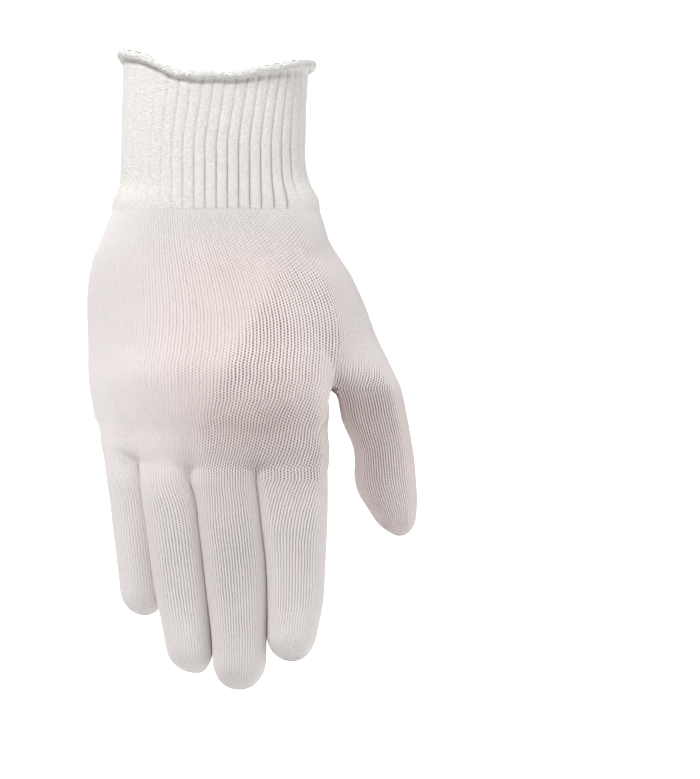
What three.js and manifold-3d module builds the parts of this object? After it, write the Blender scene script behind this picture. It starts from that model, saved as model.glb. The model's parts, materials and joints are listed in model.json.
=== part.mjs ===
// A thin knitted glove liner for the right hand, shown filled out as it is on a hand that points down.
// It is a seamless tube of plain knit: a hand shell, four finger stalls, a thumb stall,
// a ribbed cuff, and a rolled overlocked edge round the wrist opening.
// Millimetres. +Z is up, towards the wrist opening. The back of the hand faces -Y and the thumb is at +X.
// The origin is the middle of the wrist opening.
import * as THREE from "three";
import { mergeVertices } from "three/addons/utils/BufferGeometryUtils.js";
import Module from "manifold-3d";

// Lengths along the glove
const CUFF_LENGTH = 56.5;
const HAND_LENGTH = 104.7;
const INDEX_LENGTH = 71.6;
const MIDDLE_LENGTH = 83.0;
const RING_LENGTH = 76.6;
const LITTLE_LENGTH = 54.2;
const THUMB_LENGTH = 58.0;
const THUMB_FORK_SHARE = 0.667;

// Breadths and depths across it
const CUFF_BREADTH = 72.0;
const CUFF_DEPTH = 42.0;
const HAND_BREADTH = 96.0;
const HAND_DEPTH = 38.0;
const THUMB_BREADTH = 26.0;
// How far the hand's outer sides bend towards the palm, and where the bend starts, as shares of its breadth.
const ARCH = 0.094;
const ARCH_MIDDLE = 0.104;

// The knitted walls
const KNIT_WALL = 1.1;
const CUFF_WALL = 1.5;
const RIB_HEIGHT = 0.6;
const RIB_COUNT = 43;

// The rolled edge
const ROLL_RADIUS = 1.85;
const RIM_WAVE = 3.4;
const RIM_TILT = 1.35;
const RIM_DROP = 2.7;

// Clearances between pieces
const JOIN_GAP = 0.3;
const FINGER_GAP = 0.5;

// How finely the solids are faceted
const HAND_SIDES = 30;
const FINGER_SIDES = 16;
const ROLL_SIDES = 8;
const ROLL_STEPS = 48;
const POINTS_PER_RIB = 3;
const CAP_STEPS = 4;
const CUFF_STEP = 13;
const HAND_STEP = 7.5;
const FINGER_STEP = 7;
// Rings are drawn this finely before their points are spaced evenly.
const FINE_SIDES = 120;

const CUFF_END = -CUFF_LENGTH;
const FORK_LEVEL = CUFF_END - HAND_LENGTH;
const THUMB_FORK_LEVEL = CUFF_END - HAND_LENGTH * THUMB_FORK_SHARE;
const THUMB_BASE_LENGTH = CUFF_END - THUMB_FORK_LEVEL;

// A table turned into rows that are read by the names of their columns.
function table(columns, rows) {
  return rows.map((row) => Object.fromEntries(columns.map((name, i) => [name, row[i]])));
}

// The cuff. drop is a share of its length, left and right of its breadth, middle, back and palm of its depth.
const CUFF_SECTIONS = table(
  ["drop", "left", "right", "middle", "back", "palm"],
  [
    [0.0, -0.51, 0.522, 0.0, 0.51, 0.51],
    [0.08, -0.502, 0.5, 0.0, 0.5, 0.5],
    [0.45, -0.51, 0.487, 0.0, 0.485, 0.485],
    [0.7, -0.515, 0.489, 0.0, 0.485, 0.49],
    [0.87, -0.524, 0.525, 0.0, 0.49, 0.495],
    [1.0, -0.56, 0.564, 0.0, 0.495, 0.51],
  ],
);

// The hand without its thumb. drop is a share of the hand's length, left, right a share of its breadth,
// middle, back, palm a share of its depth.
const HAND_SECTIONS = table(
  ["drop", "left", "right", "middle", "back", "palm"],
  [
    [0.0, -0.422, 0.423, 0.0, 0.547, 0.564],
    [0.09, -0.459, 0.453, -0.01, 0.49, 0.56],
    [0.196, -0.507, 0.474, -0.02, 0.45, 0.56],
    [0.33, -0.532, 0.488, -0.03, 0.43, 0.53],
    [0.492, -0.533, 0.487, -0.03, 0.435, 0.485],
    [0.616, -0.534, 0.48, -0.025, 0.445, 0.44],
    [0.73, -0.515, 0.46, -0.01, 0.395, 0.395],
    [0.845, -0.492, 0.455, 0.02, 0.31, 0.33],
    [0.89, -0.47, 0.452, 0.035, 0.265, 0.295],
    [0.95, -0.3, 0.445, 0.05, 0.2, 0.225],
    [1.0, -0.262, 0.425, 0.05, 0.08, 0.1],
  ],
);

// The lines that part the fingers. drop is a share of the middle finger's length below the forks,
// and the lines' places are shares of the hand's breadth.
const FINGER_LINES = table(
  ["drop", "outside", "littleRing", "ringMiddle", "middleIndex", "inside"],
  [
    [-0.24, -0.477, -0.297, -0.1, 0.156, 0.45],
    [0.0, -0.453, -0.303, -0.1, 0.162, 0.455],
    [0.1, -0.44, -0.295, -0.078, 0.173, 0.455],
    [0.21, -0.431, -0.281, -0.067, 0.183, 0.453],
    [0.39, -0.414, -0.261, -0.05, 0.201, 0.446],
    [0.58, -0.398, -0.24, -0.033, 0.205, 0.436],
    [0.77, -0.38, -0.214, -0.02, 0.204, 0.406],
    [1.0, -0.36, -0.182, -0.017, 0.198, 0.387],
  ],
);

// The fingers. hidden is how far the finger reaches behind the next one, root and curl are how far towards
// the palm its middle lies at the forks and one middle finger's length below them, and lean is how far
// its tip lies to the thumb's side, and rise is how far the fork beside it lies above the others:
// all shares of the hand's breadth. depth is a share of the hand's depth.
const FINGERS = table(
  ["name", "from", "to", "length", "depth", "hidden", "root", "curl", "lean", "rise"],
  [
    ["little_finger", "outside", "littleRing", LITTLE_LENGTH, 0.215, 0.02, 0.104, 0.13, 0.0, 0.0625],
    ["ring_finger", "littleRing", "ringMiddle", RING_LENGTH, 0.24, 0.0, 0.022, 0.11, 0.02, 0.0],
    ["middle_finger", "ringMiddle", "middleIndex", MIDDLE_LENGTH, 0.26, 0.0, 0.006, 0.1, 0.0, 0.0],
    ["index_finger", "middleIndex", "inside", INDEX_LENGTH, 0.255, 0.0, 0.012, 0.085, 0.01, 0.0],
  ],
);

// The thumb with its base in the hand. drop is a share of the base's length above the thumb's fork, where it
// is below zero, and of the thumb's own length below it. The other columns are shares of its breadth.
const THUMB_SECTIONS = table(
  ["drop", "left", "right", "middle", "depth"],
  [
    [-1.0, 0.5, 1.5, 0.26, 0.42],
    [-0.86, 0.42, 1.76, 0.3, 0.57],
    [-0.703, 0.5, 1.927, 0.34, 0.64],
    [-0.504, 0.81, 2.196, 0.4, 0.65],
    [-0.318, 1.12, 2.392, 0.46, 0.61],
    [-0.161, 1.4, 2.596, 0.5, 0.57],
    [-0.03, 1.66, 2.762, 0.56, 0.53],
    [0.02, 1.77, 2.804, 0.58, 0.51],
    [0.207, 1.88, 2.888, 0.64, 0.485],
    [0.384, 2.046, 2.958, 0.69, 0.47],
    [0.49, 2.077, 2.992, 0.73, 0.465],
    [0.596, 2.073, 3.012, 0.77, 0.455],
    [0.703, 2.13, 3.03, 0.8, 0.44],
    [0.809, 2.27, 3.03, 0.825, 0.41],
    [0.897, 2.4, 3.01, 0.845, 0.36],
    [1.0, 2.56, 2.98, 0.865, 0.28],
  ],
);

// How square a section's corners are: 2 is an ellipse.
const HAND_SQUARENESS = 2.3;
const FINGER_SQUARENESS = 2.15;
// A fingertip's rounding is this many of the finger's half breadths long, and turns through this share
// of a right angle before its small flat end.
const TIP_LENGTH_SHARE = 1.15;
const TIP_CLOSING = 0.94;
// A finger's root starts this far above the forks, inside the hand, and is this much slimmer there.
const ROOT_RISE = 16.0;
const ROOT_SLIMNESS = 0.6;
// A stall starts this far below its fork.
const STALL_DROP = 1.6;
// Inner solids reach this far past the walls they open.
const OPENING_REACH = 2.0;
// The ribs keep this share of their height where the cuff ends.
const RIB_END_SHARE = 0.15;

const wasm = await Module();
wasm.setup();

// The value of a table's column at a drop, on a Catmull-Rom curve through the rows.
function valueAt(rows, column, drop) {
  const last = rows.length - 1;
  const inside = THREE.MathUtils.clamp(drop, rows[0].drop, rows[last].drop);
  const i = Math.min(last - 1, Math.max(0, rows.findIndex((row) => row.drop >= inside) - 1));
  const [a, b] = [rows[i], rows[i + 1]];
  const slope = (low, high) =>
    (rows[high][column] - rows[low][column]) / (rows[high].drop - rows[low].drop);
  const span = b.drop - a.drop;
  const startSlope = slope(Math.max(0, i - 1), i + 1) * span;
  const endSlope = slope(i, Math.min(last, i + 2)) * span;
  const t = (inside - a.drop) / span;
  const t2 = t * t;
  const t3 = t2 * t;
  return (
    a[column] * (2 * t3 - 3 * t2 + 1) +
    startSlope * (t3 - 2 * t2 + t) +
    b[column] * (3 * t2 - 2 * t3) +
    endSlope * (t3 - t2)
  );
}

// A section of the glove at one level: its middle, its half breadth and its depths to the back and the palm.
function handSection(level) {
  const drop = (CUFF_END - level) / HAND_LENGTH;
  const left = valueAt(HAND_SECTIONS, "left", drop) * HAND_BREADTH;
  const right = valueAt(HAND_SECTIONS, "right", drop) * HAND_BREADTH;
  return {
    x: (left + right) / 2,
    y: valueAt(HAND_SECTIONS, "middle", drop) * HAND_DEPTH,
    half: (right - left) / 2,
    back: valueAt(HAND_SECTIONS, "back", drop) * HAND_DEPTH,
    palm: valueAt(HAND_SECTIONS, "palm", drop) * HAND_DEPTH,
    squareness: HAND_SQUARENESS,
    arch: ARCH * HAND_BREADTH * THREE.MathUtils.smoothstep(drop, 0, 0.6),
  };
}

function cuffSection(level) {
  const drop = -level / CUFF_LENGTH;
  // The foot of the cuff has the hand's own outline, so the table's sizes give way to it there.
  const foot = handSection(CUFF_END);
  const share = THREE.MathUtils.smoothstep(drop, 0.8, 1);
  const left = valueAt(CUFF_SECTIONS, "left", drop) * CUFF_BREADTH;
  const right = valueAt(CUFF_SECTIONS, "right", drop) * CUFF_BREADTH;
  const toFoot = (value, end) => THREE.MathUtils.lerp(value, end, share);
  return {
    x: toFoot((left + right) / 2, foot.x),
    y: toFoot(valueAt(CUFF_SECTIONS, "middle", drop) * CUFF_DEPTH, foot.y),
    half: toFoot((right - left) / 2, foot.half),
    back: toFoot(valueAt(CUFF_SECTIONS, "back", drop) * CUFF_DEPTH, foot.back),
    palm: toFoot(valueAt(CUFF_SECTIONS, "palm", drop) * CUFF_DEPTH, foot.palm),
    squareness: HAND_SQUARENESS,
    arch: 0,
  };
}

function fingerSection(finger, level) {
  const drop = (FORK_LEVEL - level) / MIDDLE_LENGTH;
  const left = valueAt(FINGER_LINES, finger.from, drop) * HAND_BREADTH + FINGER_GAP / 2;
  const line = valueAt(FINGER_LINES, finger.to, drop) + finger.hidden;
  const right = line * HAND_BREADTH - FINGER_GAP / 2;
  const buried = THREE.MathUtils.smoothstep(level - FORK_LEVEL, 0.4 * ROOT_RISE, ROOT_RISE);
  const slimness = 1 - (1 - ROOT_SLIMNESS) * buried;
  const depth = finger.depth * HAND_DEPTH * slimness;
  return {
    x: (left + right) / 2,
    y: (finger.root + finger.curl * Math.max(0, drop) ** 1.25) * HAND_BREADTH,
    half: ((right - left) / 2) * slimness,
    back: depth,
    palm: depth,
    squareness: FINGER_SQUARENESS,
    arch: 0,
  };
}

function thumbSection(level) {
  const below = THUMB_FORK_LEVEL - level;
  const drop = below / (below < 0 ? THUMB_BASE_LENGTH : THUMB_LENGTH);
  const left = valueAt(THUMB_SECTIONS, "left", drop) * THUMB_BREADTH;
  const right = valueAt(THUMB_SECTIONS, "right", drop) * THUMB_BREADTH;
  const depth = valueAt(THUMB_SECTIONS, "depth", drop) * THUMB_BREADTH;
  // The thumb's fork lies at the hand's inner side, so the thumb moves out with the hand's breadth.
  const fork = handSection(THUMB_FORK_LEVEL);
  const shift = fork.x + fork.half - valueAt(THUMB_SECTIONS, "left", 0) * THUMB_BREADTH;
  return {
    x: (left + right) / 2 + shift,
    y: valueAt(THUMB_SECTIONS, "middle", drop) * THUMB_BREADTH,
    half: (right - left) / 2,
    back: depth,
    palm: depth,
    squareness: FINGER_SQUARENESS,
    arch: 0,
  };
}

// The points of a section, grown outwards by a distance or, if that is negative, shrunk.
function ringOf(section, level, sides, grow = 0) {
  const power = 2 / section.squareness;
  return Array.from({ length: sides }, (_, i) => {
    const angle = (i / sides) * 2 * Math.PI;
    const [c, s] = [Math.cos(angle), Math.sin(angle)];
    const depth = (s < 0 ? section.back : section.palm) + grow;
    const x = section.x + (section.half + grow) * Math.sign(c) * Math.abs(c) ** power;
    const y = section.y + depth * Math.sign(s) * Math.abs(s) ** power;
    const side = Math.abs(x - ARCH_MIDDLE * HAND_BREADTH) / (HAND_BREADTH / 2);
    return new THREE.Vector3(x, y + section.arch * side ** 3, level);
  });
}

// A closed solid through rings of points that run from the top down, with a flat face at each end.
function solidThrough(rings) {
  const sides = rings[0].length;
  const middle = (ring) =>
    ring.reduce((sum, p) => sum.add(p), new THREE.Vector3()).divideScalar(ring.length);
  const points = [...rings.flat(), middle(rings[0]), middle(rings.at(-1))];
  const [topMiddle, bottomMiddle] = [points.length - 2, points.length - 1];
  const lastRing = (rings.length - 1) * sides;
  const faces = [];
  for (let i = 0; i < sides; i++) {
    const next = (i + 1) % sides;
    faces.push(topMiddle, i, next, bottomMiddle, lastRing + next, lastRing + i);
    for (let r = 0; r < lastRing; r += sides) {
      faces.push(r + i, r + sides + i, r + sides + next, r + i, r + sides + next, r + next);
    }
  }
  const geometry = new THREE.BufferGeometry().setFromPoints(points);
  geometry.setIndex(faces);
  return solidOf(geometry);
}

function solidOf(geometry) {
  const merged = mergeVertices(geometry, 1e-5);
  return new wasm.Manifold(
    new wasm.Mesh({
      numProp: 3,
      vertProperties: new Float32Array(merged.attributes.position.array),
      triVerts: new Uint32Array(merged.index.array),
    }),
  );
}

// Levels from one height down to another, about a step apart.
function levels(from, to, step) {
  const count = Math.max(2, Math.ceil((from - to) / step) + 1);
  return Array.from({ length: count }, (_, i) => from + ((to - from) * i) / (count - 1));
}

function tube(section, from, to, step, sides, grow) {
  return solidThrough(levels(from, to, step).map((level) => ringOf(section(level), level, sides, grow)));
}

// A stall: a tube whose lower end closes in a rounded tip. The tip can lean to one side.
function stall(section, from, tip, step, grow, lean = 0) {
  const end = tip - grow;
  const capHeight = (section(tip).half + grow) * TIP_LENGTH_SHARE;
  const capStart = end + capHeight;
  const rings = levels(from, capStart, step).map((level) =>
    ringOf(section(level), level, FINGER_SIDES, grow),
  );
  for (let i = 1; i <= CAP_STEPS; i++) {
    const angle = ((i / CAP_STEPS) * TIP_CLOSING * Math.PI) / 2;
    const level = capStart - capHeight * Math.sin(angle);
    const round = section(level);
    const close = Math.cos(angle);
    rings.push(
      ringOf(
        {
          ...round,
          x: round.x + lean * (1 - close),
          half: (round.half + grow) * close,
          back: (round.back + grow) * close,
          palm: (round.palm + grow) * close,
        },
        level,
        FINGER_SIDES,
      ),
    );
  }
  return solidThrough(rings);
}

// The height of the rim at a point's direction round the opening.
function rimHeight(angle) {
  return RIM_WAVE * Math.cos(2 * angle) - RIM_TILT * Math.cos(angle) - RIM_DROP;
}

// A ring of the cuff, spaced evenly along its length, with its ribs standing out.
// The rim's wave fades out towards the foot of the cuff.
function cuffRing(level, sides, grow, ribHeight) {
  const even = evenly(ringOf(cuffSection(level), level, FINE_SIDES, grow), sides);
  const fade = 1 - THREE.MathUtils.smoothstep(-level / CUFF_LENGTH, 0, 0.75);
  const middle = cuffSection(level);
  return even.map((point, i) => {
    const angle = Math.atan2(point.y - middle.y, point.x - middle.x);
    const crest = ribHeight * (0.5 - 0.5 * Math.cos((2 * Math.PI * i) / POINTS_PER_RIB));
    const outwards = new THREE.Vector3(Math.cos(angle), Math.sin(angle), 0);
    const moved = point.clone().addScaledVector(outwards, crest - ribHeight);
    moved.z += rimHeight(angle) * fade;
    return moved;
  });
}

// The same closed ring with its points an equal distance apart.
function evenly(ring, count) {
  const curve = new THREE.CatmullRomCurve3(ring, true);
  curve.arcLengthDivisions = ring.length * 4;
  return curve.getSpacedPoints(count).slice(0, count);
}

function cuff() {
  const top = -ROLL_RADIUS - JOIN_GAP;
  const outer = levels(top, CUFF_END + JOIN_GAP / 2, CUFF_STEP).map((level) =>
    cuffRing(level, RIB_COUNT * POINTS_PER_RIB, 0, RIB_HEIGHT * ribFade(level)),
  );
  const inner = levels(top, CUFF_END - OPENING_REACH, CUFF_STEP).map((level) =>
    cuffRing(level, HAND_SIDES, -CUFF_WALL, 0),
  );
  const above = inner[0].map((p) => p.clone().setZ(p.z + 4 * ROLL_RADIUS));
  return solidThrough(outer).subtract(solidThrough([above, ...inner]));
}

// The ribs die away where the cuff meets the plain knit of the hand.
function ribFade(level) {
  return 1 - (1 - RIB_END_SHARE) * THREE.MathUtils.smoothstep(-level / CUFF_LENGTH, 0.86, 1);
}

// The rolled edge: a round roll that follows the rim.
function cuffEdge() {
  const middle = cuffSection(0);
  const path = evenly(ringOf(middle, 0, FINE_SIDES, -CUFF_WALL / 2), ROLL_STEPS);
  const sections = path.map((point) => {
    const angle = Math.atan2(point.y - middle.y, point.x - middle.x);
    const outwards = new THREE.Vector3(Math.cos(angle), Math.sin(angle), 0);
    return Array.from({ length: ROLL_SIDES }, (_, i) => {
      const turn = (i / ROLL_SIDES) * 2 * Math.PI;
      const round = point.clone().addScaledVector(outwards, ROLL_RADIUS * Math.cos(turn));
      return round.setZ(rimHeight(angle) + ROLL_RADIUS * Math.sin(turn));
    });
  });
  const faces = [];
  for (let s = 0; s < ROLL_STEPS; s++) {
    const next = ((s + 1) % ROLL_STEPS) * ROLL_SIDES;
    for (let i = 0; i < ROLL_SIDES; i++) {
      const j = (i + 1) % ROLL_SIDES;
      const here = s * ROLL_SIDES;
      faces.push(here + i, next + j, here + j, here + i, next + i, next + j);
    }
  }
  const geometry = new THREE.BufferGeometry().setFromPoints(sections.flat());
  geometry.setIndex(faces);
  return solidOf(geometry);
}

// The level at which a finger's own stall starts. The fork beside the little finger is the highest.
function stallLevel(finger) {
  return FORK_LEVEL + finger.rise * HAND_BREADTH - STALL_DROP;
}

function fingerSolid(finger, from, step, grow) {
  const section = (level) => fingerSection(finger, level);
  return stall(section, from, FORK_LEVEL - finger.length, step, grow, finger.lean * HAND_BREADTH);
}

function fingerInside(finger) {
  return fingerSolid(finger, FORK_LEVEL + ROOT_RISE, FINGER_STEP, -KNIT_WALL);
}

// The room that a finger's stall needs, with the clearance round it.
function fingerSpace(finger) {
  return fingerSolid(finger, stallLevel(finger) + JOIN_GAP / 2, 2 * FINGER_STEP, JOIN_GAP);
}

function fingerStall(finger) {
  const outside = fingerSolid(finger, stallLevel(finger) - JOIN_GAP / 2, FINGER_STEP, 0);
  return outside.subtract(fingerInside(finger));
}

const THUMB_TIP = THUMB_FORK_LEVEL - THUMB_LENGTH;
const THUMB_CUT = THUMB_FORK_LEVEL - STALL_DROP;
const THUMB_TOP = CUFF_END - 2 * KNIT_WALL;

function thumbInside() {
  return stall(thumbSection, THUMB_TOP - KNIT_WALL, THUMB_TIP, FINGER_STEP, -KNIT_WALL);
}

function thumbStall() {
  return stall(thumbSection, THUMB_CUT - JOIN_GAP / 2, THUMB_TIP, FINGER_STEP, 0).subtract(thumbInside());
}

// The hand shell: the palm and back, the thumb's base and the short roots of the fingers, hollowed together.
function hand() {
  const handTop = CUFF_END - JOIN_GAP / 2;
  const handBottom = FORK_LEVEL;
  let outside = tube(handSection, handTop, handBottom, HAND_STEP, HAND_SIDES, 0);
  outside = outside.add(tube(thumbSection, THUMB_TOP, THUMB_CUT + JOIN_GAP / 2, HAND_STEP, FINGER_SIDES, 0));
  let inside = tube(
    handSection,
    CUFF_END + OPENING_REACH,
    handBottom + KNIT_WALL,
    HAND_STEP,
    HAND_SIDES,
    -KNIT_WALL,
  );
  inside = inside.add(thumbInside());
  for (const finger of FINGERS) {
    const section = (level) => fingerSection(finger, level);
    const bottom = stallLevel(finger) + JOIN_GAP / 2;
    outside = outside.add(tube(section, FORK_LEVEL + ROOT_RISE, bottom, FINGER_STEP, FINGER_SIDES, 0));
    inside = inside.add(fingerInside(finger));
  }
  for (const finger of FINGERS) {
    outside = outside.subtract(fingerSpace(finger));
  }
  return outside.subtract(inside);
}

const glove = new THREE.Group();

function addPiece(name, solid, material) {
  const mesh = solid.getMesh();
  const geometry = new THREE.BufferGeometry();
  geometry.setAttribute("position", new THREE.BufferAttribute(new Float32Array(mesh.vertProperties), 3));
  geometry.setIndex(new THREE.BufferAttribute(new Uint32Array(mesh.triVerts), 1));
  geometry.computeVertexNormals();
  const piece = new THREE.Mesh(geometry, material);
  piece.name = name;
  glove.add(piece);
}

const plainKnit = new THREE.MeshStandardMaterial({ color: 0xe6dddb, roughness: 0.9, metalness: 0 });
const ribKnit = new THREE.MeshStandardMaterial({ color: 0xebe7e5, roughness: 0.92, metalness: 0 });
const overlock = new THREE.MeshStandardMaterial({ color: 0xf1efeb, roughness: 0.95, metalness: 0 });

addPiece("cuff_edge", cuffEdge(), overlock);
addPiece("cuff", cuff(), ribKnit);
addPiece("hand", hand(), plainKnit);
addPiece("thumb", thumbStall(), plainKnit);
for (const finger of FINGERS) {
  addPiece(finger.name, fingerStall(finger), plainKnit);
}

export default glove;
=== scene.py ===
"""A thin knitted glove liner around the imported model: rolled edge, ribbed cuff, hand and five stalls.

Lengths are in millimetres until a mesh is made, and then in metres. x runs to the thumb's side, y to the palm
and z up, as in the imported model, so the back of the hand faces the camera at -y.
"""

from __future__ import annotations

import json
import logging
import math
from dataclasses import dataclass, field
from enum import Enum
from functools import partial
from typing import Callable, Sequence

import bpy
import numpy as np
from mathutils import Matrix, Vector

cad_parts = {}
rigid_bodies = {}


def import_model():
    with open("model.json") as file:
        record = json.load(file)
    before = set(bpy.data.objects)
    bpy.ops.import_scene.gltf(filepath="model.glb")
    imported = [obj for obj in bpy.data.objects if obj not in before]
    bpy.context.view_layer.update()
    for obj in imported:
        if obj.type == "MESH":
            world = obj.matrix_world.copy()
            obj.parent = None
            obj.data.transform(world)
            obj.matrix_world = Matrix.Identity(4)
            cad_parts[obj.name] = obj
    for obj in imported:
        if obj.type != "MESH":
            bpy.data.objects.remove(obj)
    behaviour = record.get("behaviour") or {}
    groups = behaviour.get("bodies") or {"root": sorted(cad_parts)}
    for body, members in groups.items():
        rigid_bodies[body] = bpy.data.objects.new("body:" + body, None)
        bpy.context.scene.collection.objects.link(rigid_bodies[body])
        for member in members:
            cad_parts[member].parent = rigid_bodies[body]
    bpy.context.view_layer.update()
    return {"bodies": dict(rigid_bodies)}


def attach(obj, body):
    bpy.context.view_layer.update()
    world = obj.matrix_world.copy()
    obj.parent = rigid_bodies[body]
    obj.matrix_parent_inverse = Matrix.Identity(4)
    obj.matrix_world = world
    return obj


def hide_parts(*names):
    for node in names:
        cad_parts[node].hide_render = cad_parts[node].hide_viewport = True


LOG = logging.getLogger("glove_liner")
MM = 0.001
TURN = 2 * math.pi
FAR = 99.0
TINY = 1e-9

CUFF_LENGTH = 56.5
HAND_LENGTH = 104.7
INDEX_LENGTH = 71.6
MIDDLE_LENGTH = 83.0
RING_LENGTH = 76.6
LITTLE_LENGTH = 54.2
THUMB_LENGTH = 58.0
CUFF_BREADTH = 72.0
CUFF_DEPTH = 42.0
HAND_BREADTH = 96.0
HAND_DEPTH = 38.0
THUMB_BREADTH = 26.0
ARCH = 0.094
ARCH_MIDDLE = 0.104
CUFF_END = -CUFF_LENGTH
FORK = CUFF_END - HAND_LENGTH
THUMB_FORK_SHARE = 0.667
THUMB_FORK = CUFF_END - THUMB_FORK_SHARE * HAND_LENGTH
THUMB_BASE_LENGTH = THUMB_FORK_SHARE * HAND_LENGTH
LITTLE_RISE = 0.0625 * HAND_BREADTH
LITTLE_FORK = FORK + LITTLE_RISE
RIM_WAVE = 3.4
RIM_TILT = 1.35
RIM_DROP = 2.7
WALL = 1.1
CUFF_WALL = 1.5
COURSE = 1.09
HAND_POWER = 2.3
DIGIT_POWER = 2.15
GRID = np.arange(-252.0, 4.01, 0.25)

Array = np.ndarray


def smoothstep(value: Array | float, low: float, high: float) -> Array:
    """Rises smoothly from 0 at low to 1 at high.

    Args:
        value: What is looked up.
        low: Where the rise starts.
        high: Where the rise ends.

    Returns:
        The share of the rise at each value.
    """
    t = np.clip((np.asarray(value, float) - low) / (high - low), 0.0, 1.0)
    return t * t * (3.0 - 2.0 * t)


def mix(start: Array | float, end: Array | float, share: Array | float) -> Array:
    """Goes from start to end by a share."""
    return np.asarray(start) * (1.0 - share) + np.asarray(end) * share


def unit(vectors: Array) -> Array:
    """Makes vectors one long, and leaves those of no length as they are."""
    return vectors / np.maximum(np.linalg.norm(vectors, axis=-1, keepdims=True), TINY)


def outward(points: Array) -> Array:
    """The outward directions of a closed grid of points, rows by columns."""
    across = np.roll(points, -1, axis=1) - np.roll(points, 1, axis=1)
    return unit(np.cross(np.gradient(points, axis=0), across))


def rounded(count: int, power: float) -> tuple[Array, Array]:
    """Goes once round a rounded box, from its left side over the back.

    Args:
        count: How many steps it takes.
        power: How square the box is, from 2 for an oval up.

    Returns:
        The shares of the half breadth and of the half depth at each step.
    """
    turns = np.linspace(0, TURN, count, endpoint=False) + math.pi
    c, s = np.cos(turns), np.sin(turns)
    return np.sign(c) * np.abs(c) ** (2 / power), np.sign(s) * np.abs(s) ** (2 / power)


class Table:
    """A short table of shares against a drop, read on a smooth curve through its rows."""

    def __init__(self, columns: str, rows: Sequence[Sequence[float]]) -> None:
        """Keeps the rows under the names of their columns.

        Args:
            columns: The names, in order, with the drop first.
            rows: The rows, from the top down.
        """
        self.names = columns.split()
        self.rows = np.array(rows, float)

    def at(self, column: str, drop: Array | float) -> Array:
        """Reads one column.

        Args:
            column: The column's name.
            drop: Where to read it.

        Returns:
            The column's values there.
        """
        knots = self.rows[:, 0]
        values = self.rows[:, self.names.index(column)]
        last = len(knots) - 1
        index = np.arange(last + 1)
        low, high = np.maximum(index - 1, 0), np.minimum(index + 1, last)
        slopes = (values[high] - values[low]) / (knots[high] - knots[low])
        inside = np.clip(drop, knots[0], knots[-1])
        i = np.clip(np.searchsorted(knots, inside, side="left") - 1, 0, last - 1)
        span = knots[i + 1] - knots[i]
        t = (inside - knots[i]) / span
        t2, t3 = t * t, t * t * t
        return (
            values[i] * (2 * t3 - 3 * t2 + 1)
            + slopes[i] * span * (t3 - 2 * t2 + t)
            + values[i + 1] * (3 * t2 - 2 * t3)
            + slopes[i + 1] * span * (t3 - t2)
        )


CUFF_SECTIONS = Table(
    "drop left right back palm",
    [
        [0.0, -0.51, 0.522, 0.51, 0.51],
        [0.08, -0.502, 0.5, 0.5, 0.5],
        [0.45, -0.51, 0.487, 0.485, 0.485],
        [0.7, -0.515, 0.489, 0.485, 0.49],
        [0.87, -0.524, 0.525, 0.49, 0.495],
        [1.0, -0.56, 0.564, 0.495, 0.51],
    ],
)
HAND_SECTIONS = Table(
    "drop left right middle back palm",
    [
        [0.0, -0.422, 0.423, 0.0, 0.547, 0.564],
        [0.09, -0.459, 0.453, -0.01, 0.49, 0.56],
        [0.196, -0.507, 0.474, -0.02, 0.45, 0.56],
        [0.33, -0.532, 0.488, -0.03, 0.43, 0.53],
        [0.492, -0.533, 0.487, -0.03, 0.435, 0.485],
        [0.616, -0.534, 0.48, -0.025, 0.445, 0.44],
        [0.73, -0.515, 0.46, -0.01, 0.395, 0.395],
        [0.845, -0.492, 0.455, 0.02, 0.31, 0.33],
        [0.89, -0.47, 0.452, 0.035, 0.265, 0.295],
        [0.95, -0.3, 0.445, 0.05, 0.2, 0.225],
        [1.0, -0.262, 0.425, 0.05, 0.08, 0.1],
    ],
)
FINGER_LINES = Table(
    "drop outside little_ring ring_middle middle_index inside",
    [
        [-0.24, -0.477, -0.297, -0.1, 0.156, 0.45],
        [0.0, -0.453, -0.303, -0.1, 0.162, 0.455],
        [0.1, -0.44, -0.295, -0.078, 0.173, 0.455],
        [0.21, -0.431, -0.281, -0.067, 0.183, 0.453],
        [0.39, -0.414, -0.261, -0.05, 0.201, 0.446],
        [0.58, -0.398, -0.24, -0.033, 0.205, 0.436],
        [0.77, -0.38, -0.214, -0.02, 0.204, 0.406],
        [1.0, -0.36, -0.182, -0.017, 0.198, 0.387],
    ],
)
THUMB_SECTIONS = Table(
    "drop left right middle depth",
    [
        [-1.0, 0.5, 1.5, 0.26, 0.42],
        [-0.86, 0.42, 1.76, 0.3, 0.57],
        [-0.703, 0.5, 1.927, 0.34, 0.64],
        [-0.504, 0.81, 2.196, 0.4, 0.65],
        [-0.318, 1.12, 2.392, 0.46, 0.61],
        [-0.161, 1.4, 2.596, 0.5, 0.57],
        [-0.03, 1.66, 2.762, 0.56, 0.53],
        [0.02, 1.77, 2.804, 0.58, 0.51],
        [0.207, 1.88, 2.888, 0.64, 0.485],
        [0.384, 2.046, 2.958, 0.69, 0.47],
        [0.49, 2.077, 2.992, 0.73, 0.465],
        [0.596, 2.073, 3.012, 0.77, 0.455],
        [0.703, 2.13, 3.03, 0.8, 0.44],
        [0.809, 2.27, 3.03, 0.825, 0.41],
        [0.897, 2.4, 3.01, 0.845, 0.36],
        [1.0, 2.56, 2.98, 0.865, 0.28],
    ],
)


def arch_shift(x: Array) -> Array:
    """How far the hand's arch moves a point towards the palm, as a share of the arch's height."""
    return (np.abs(x - ARCH_MIDDLE * HAND_BREADTH) / (HAND_BREADTH / 2)) ** 3


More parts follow.
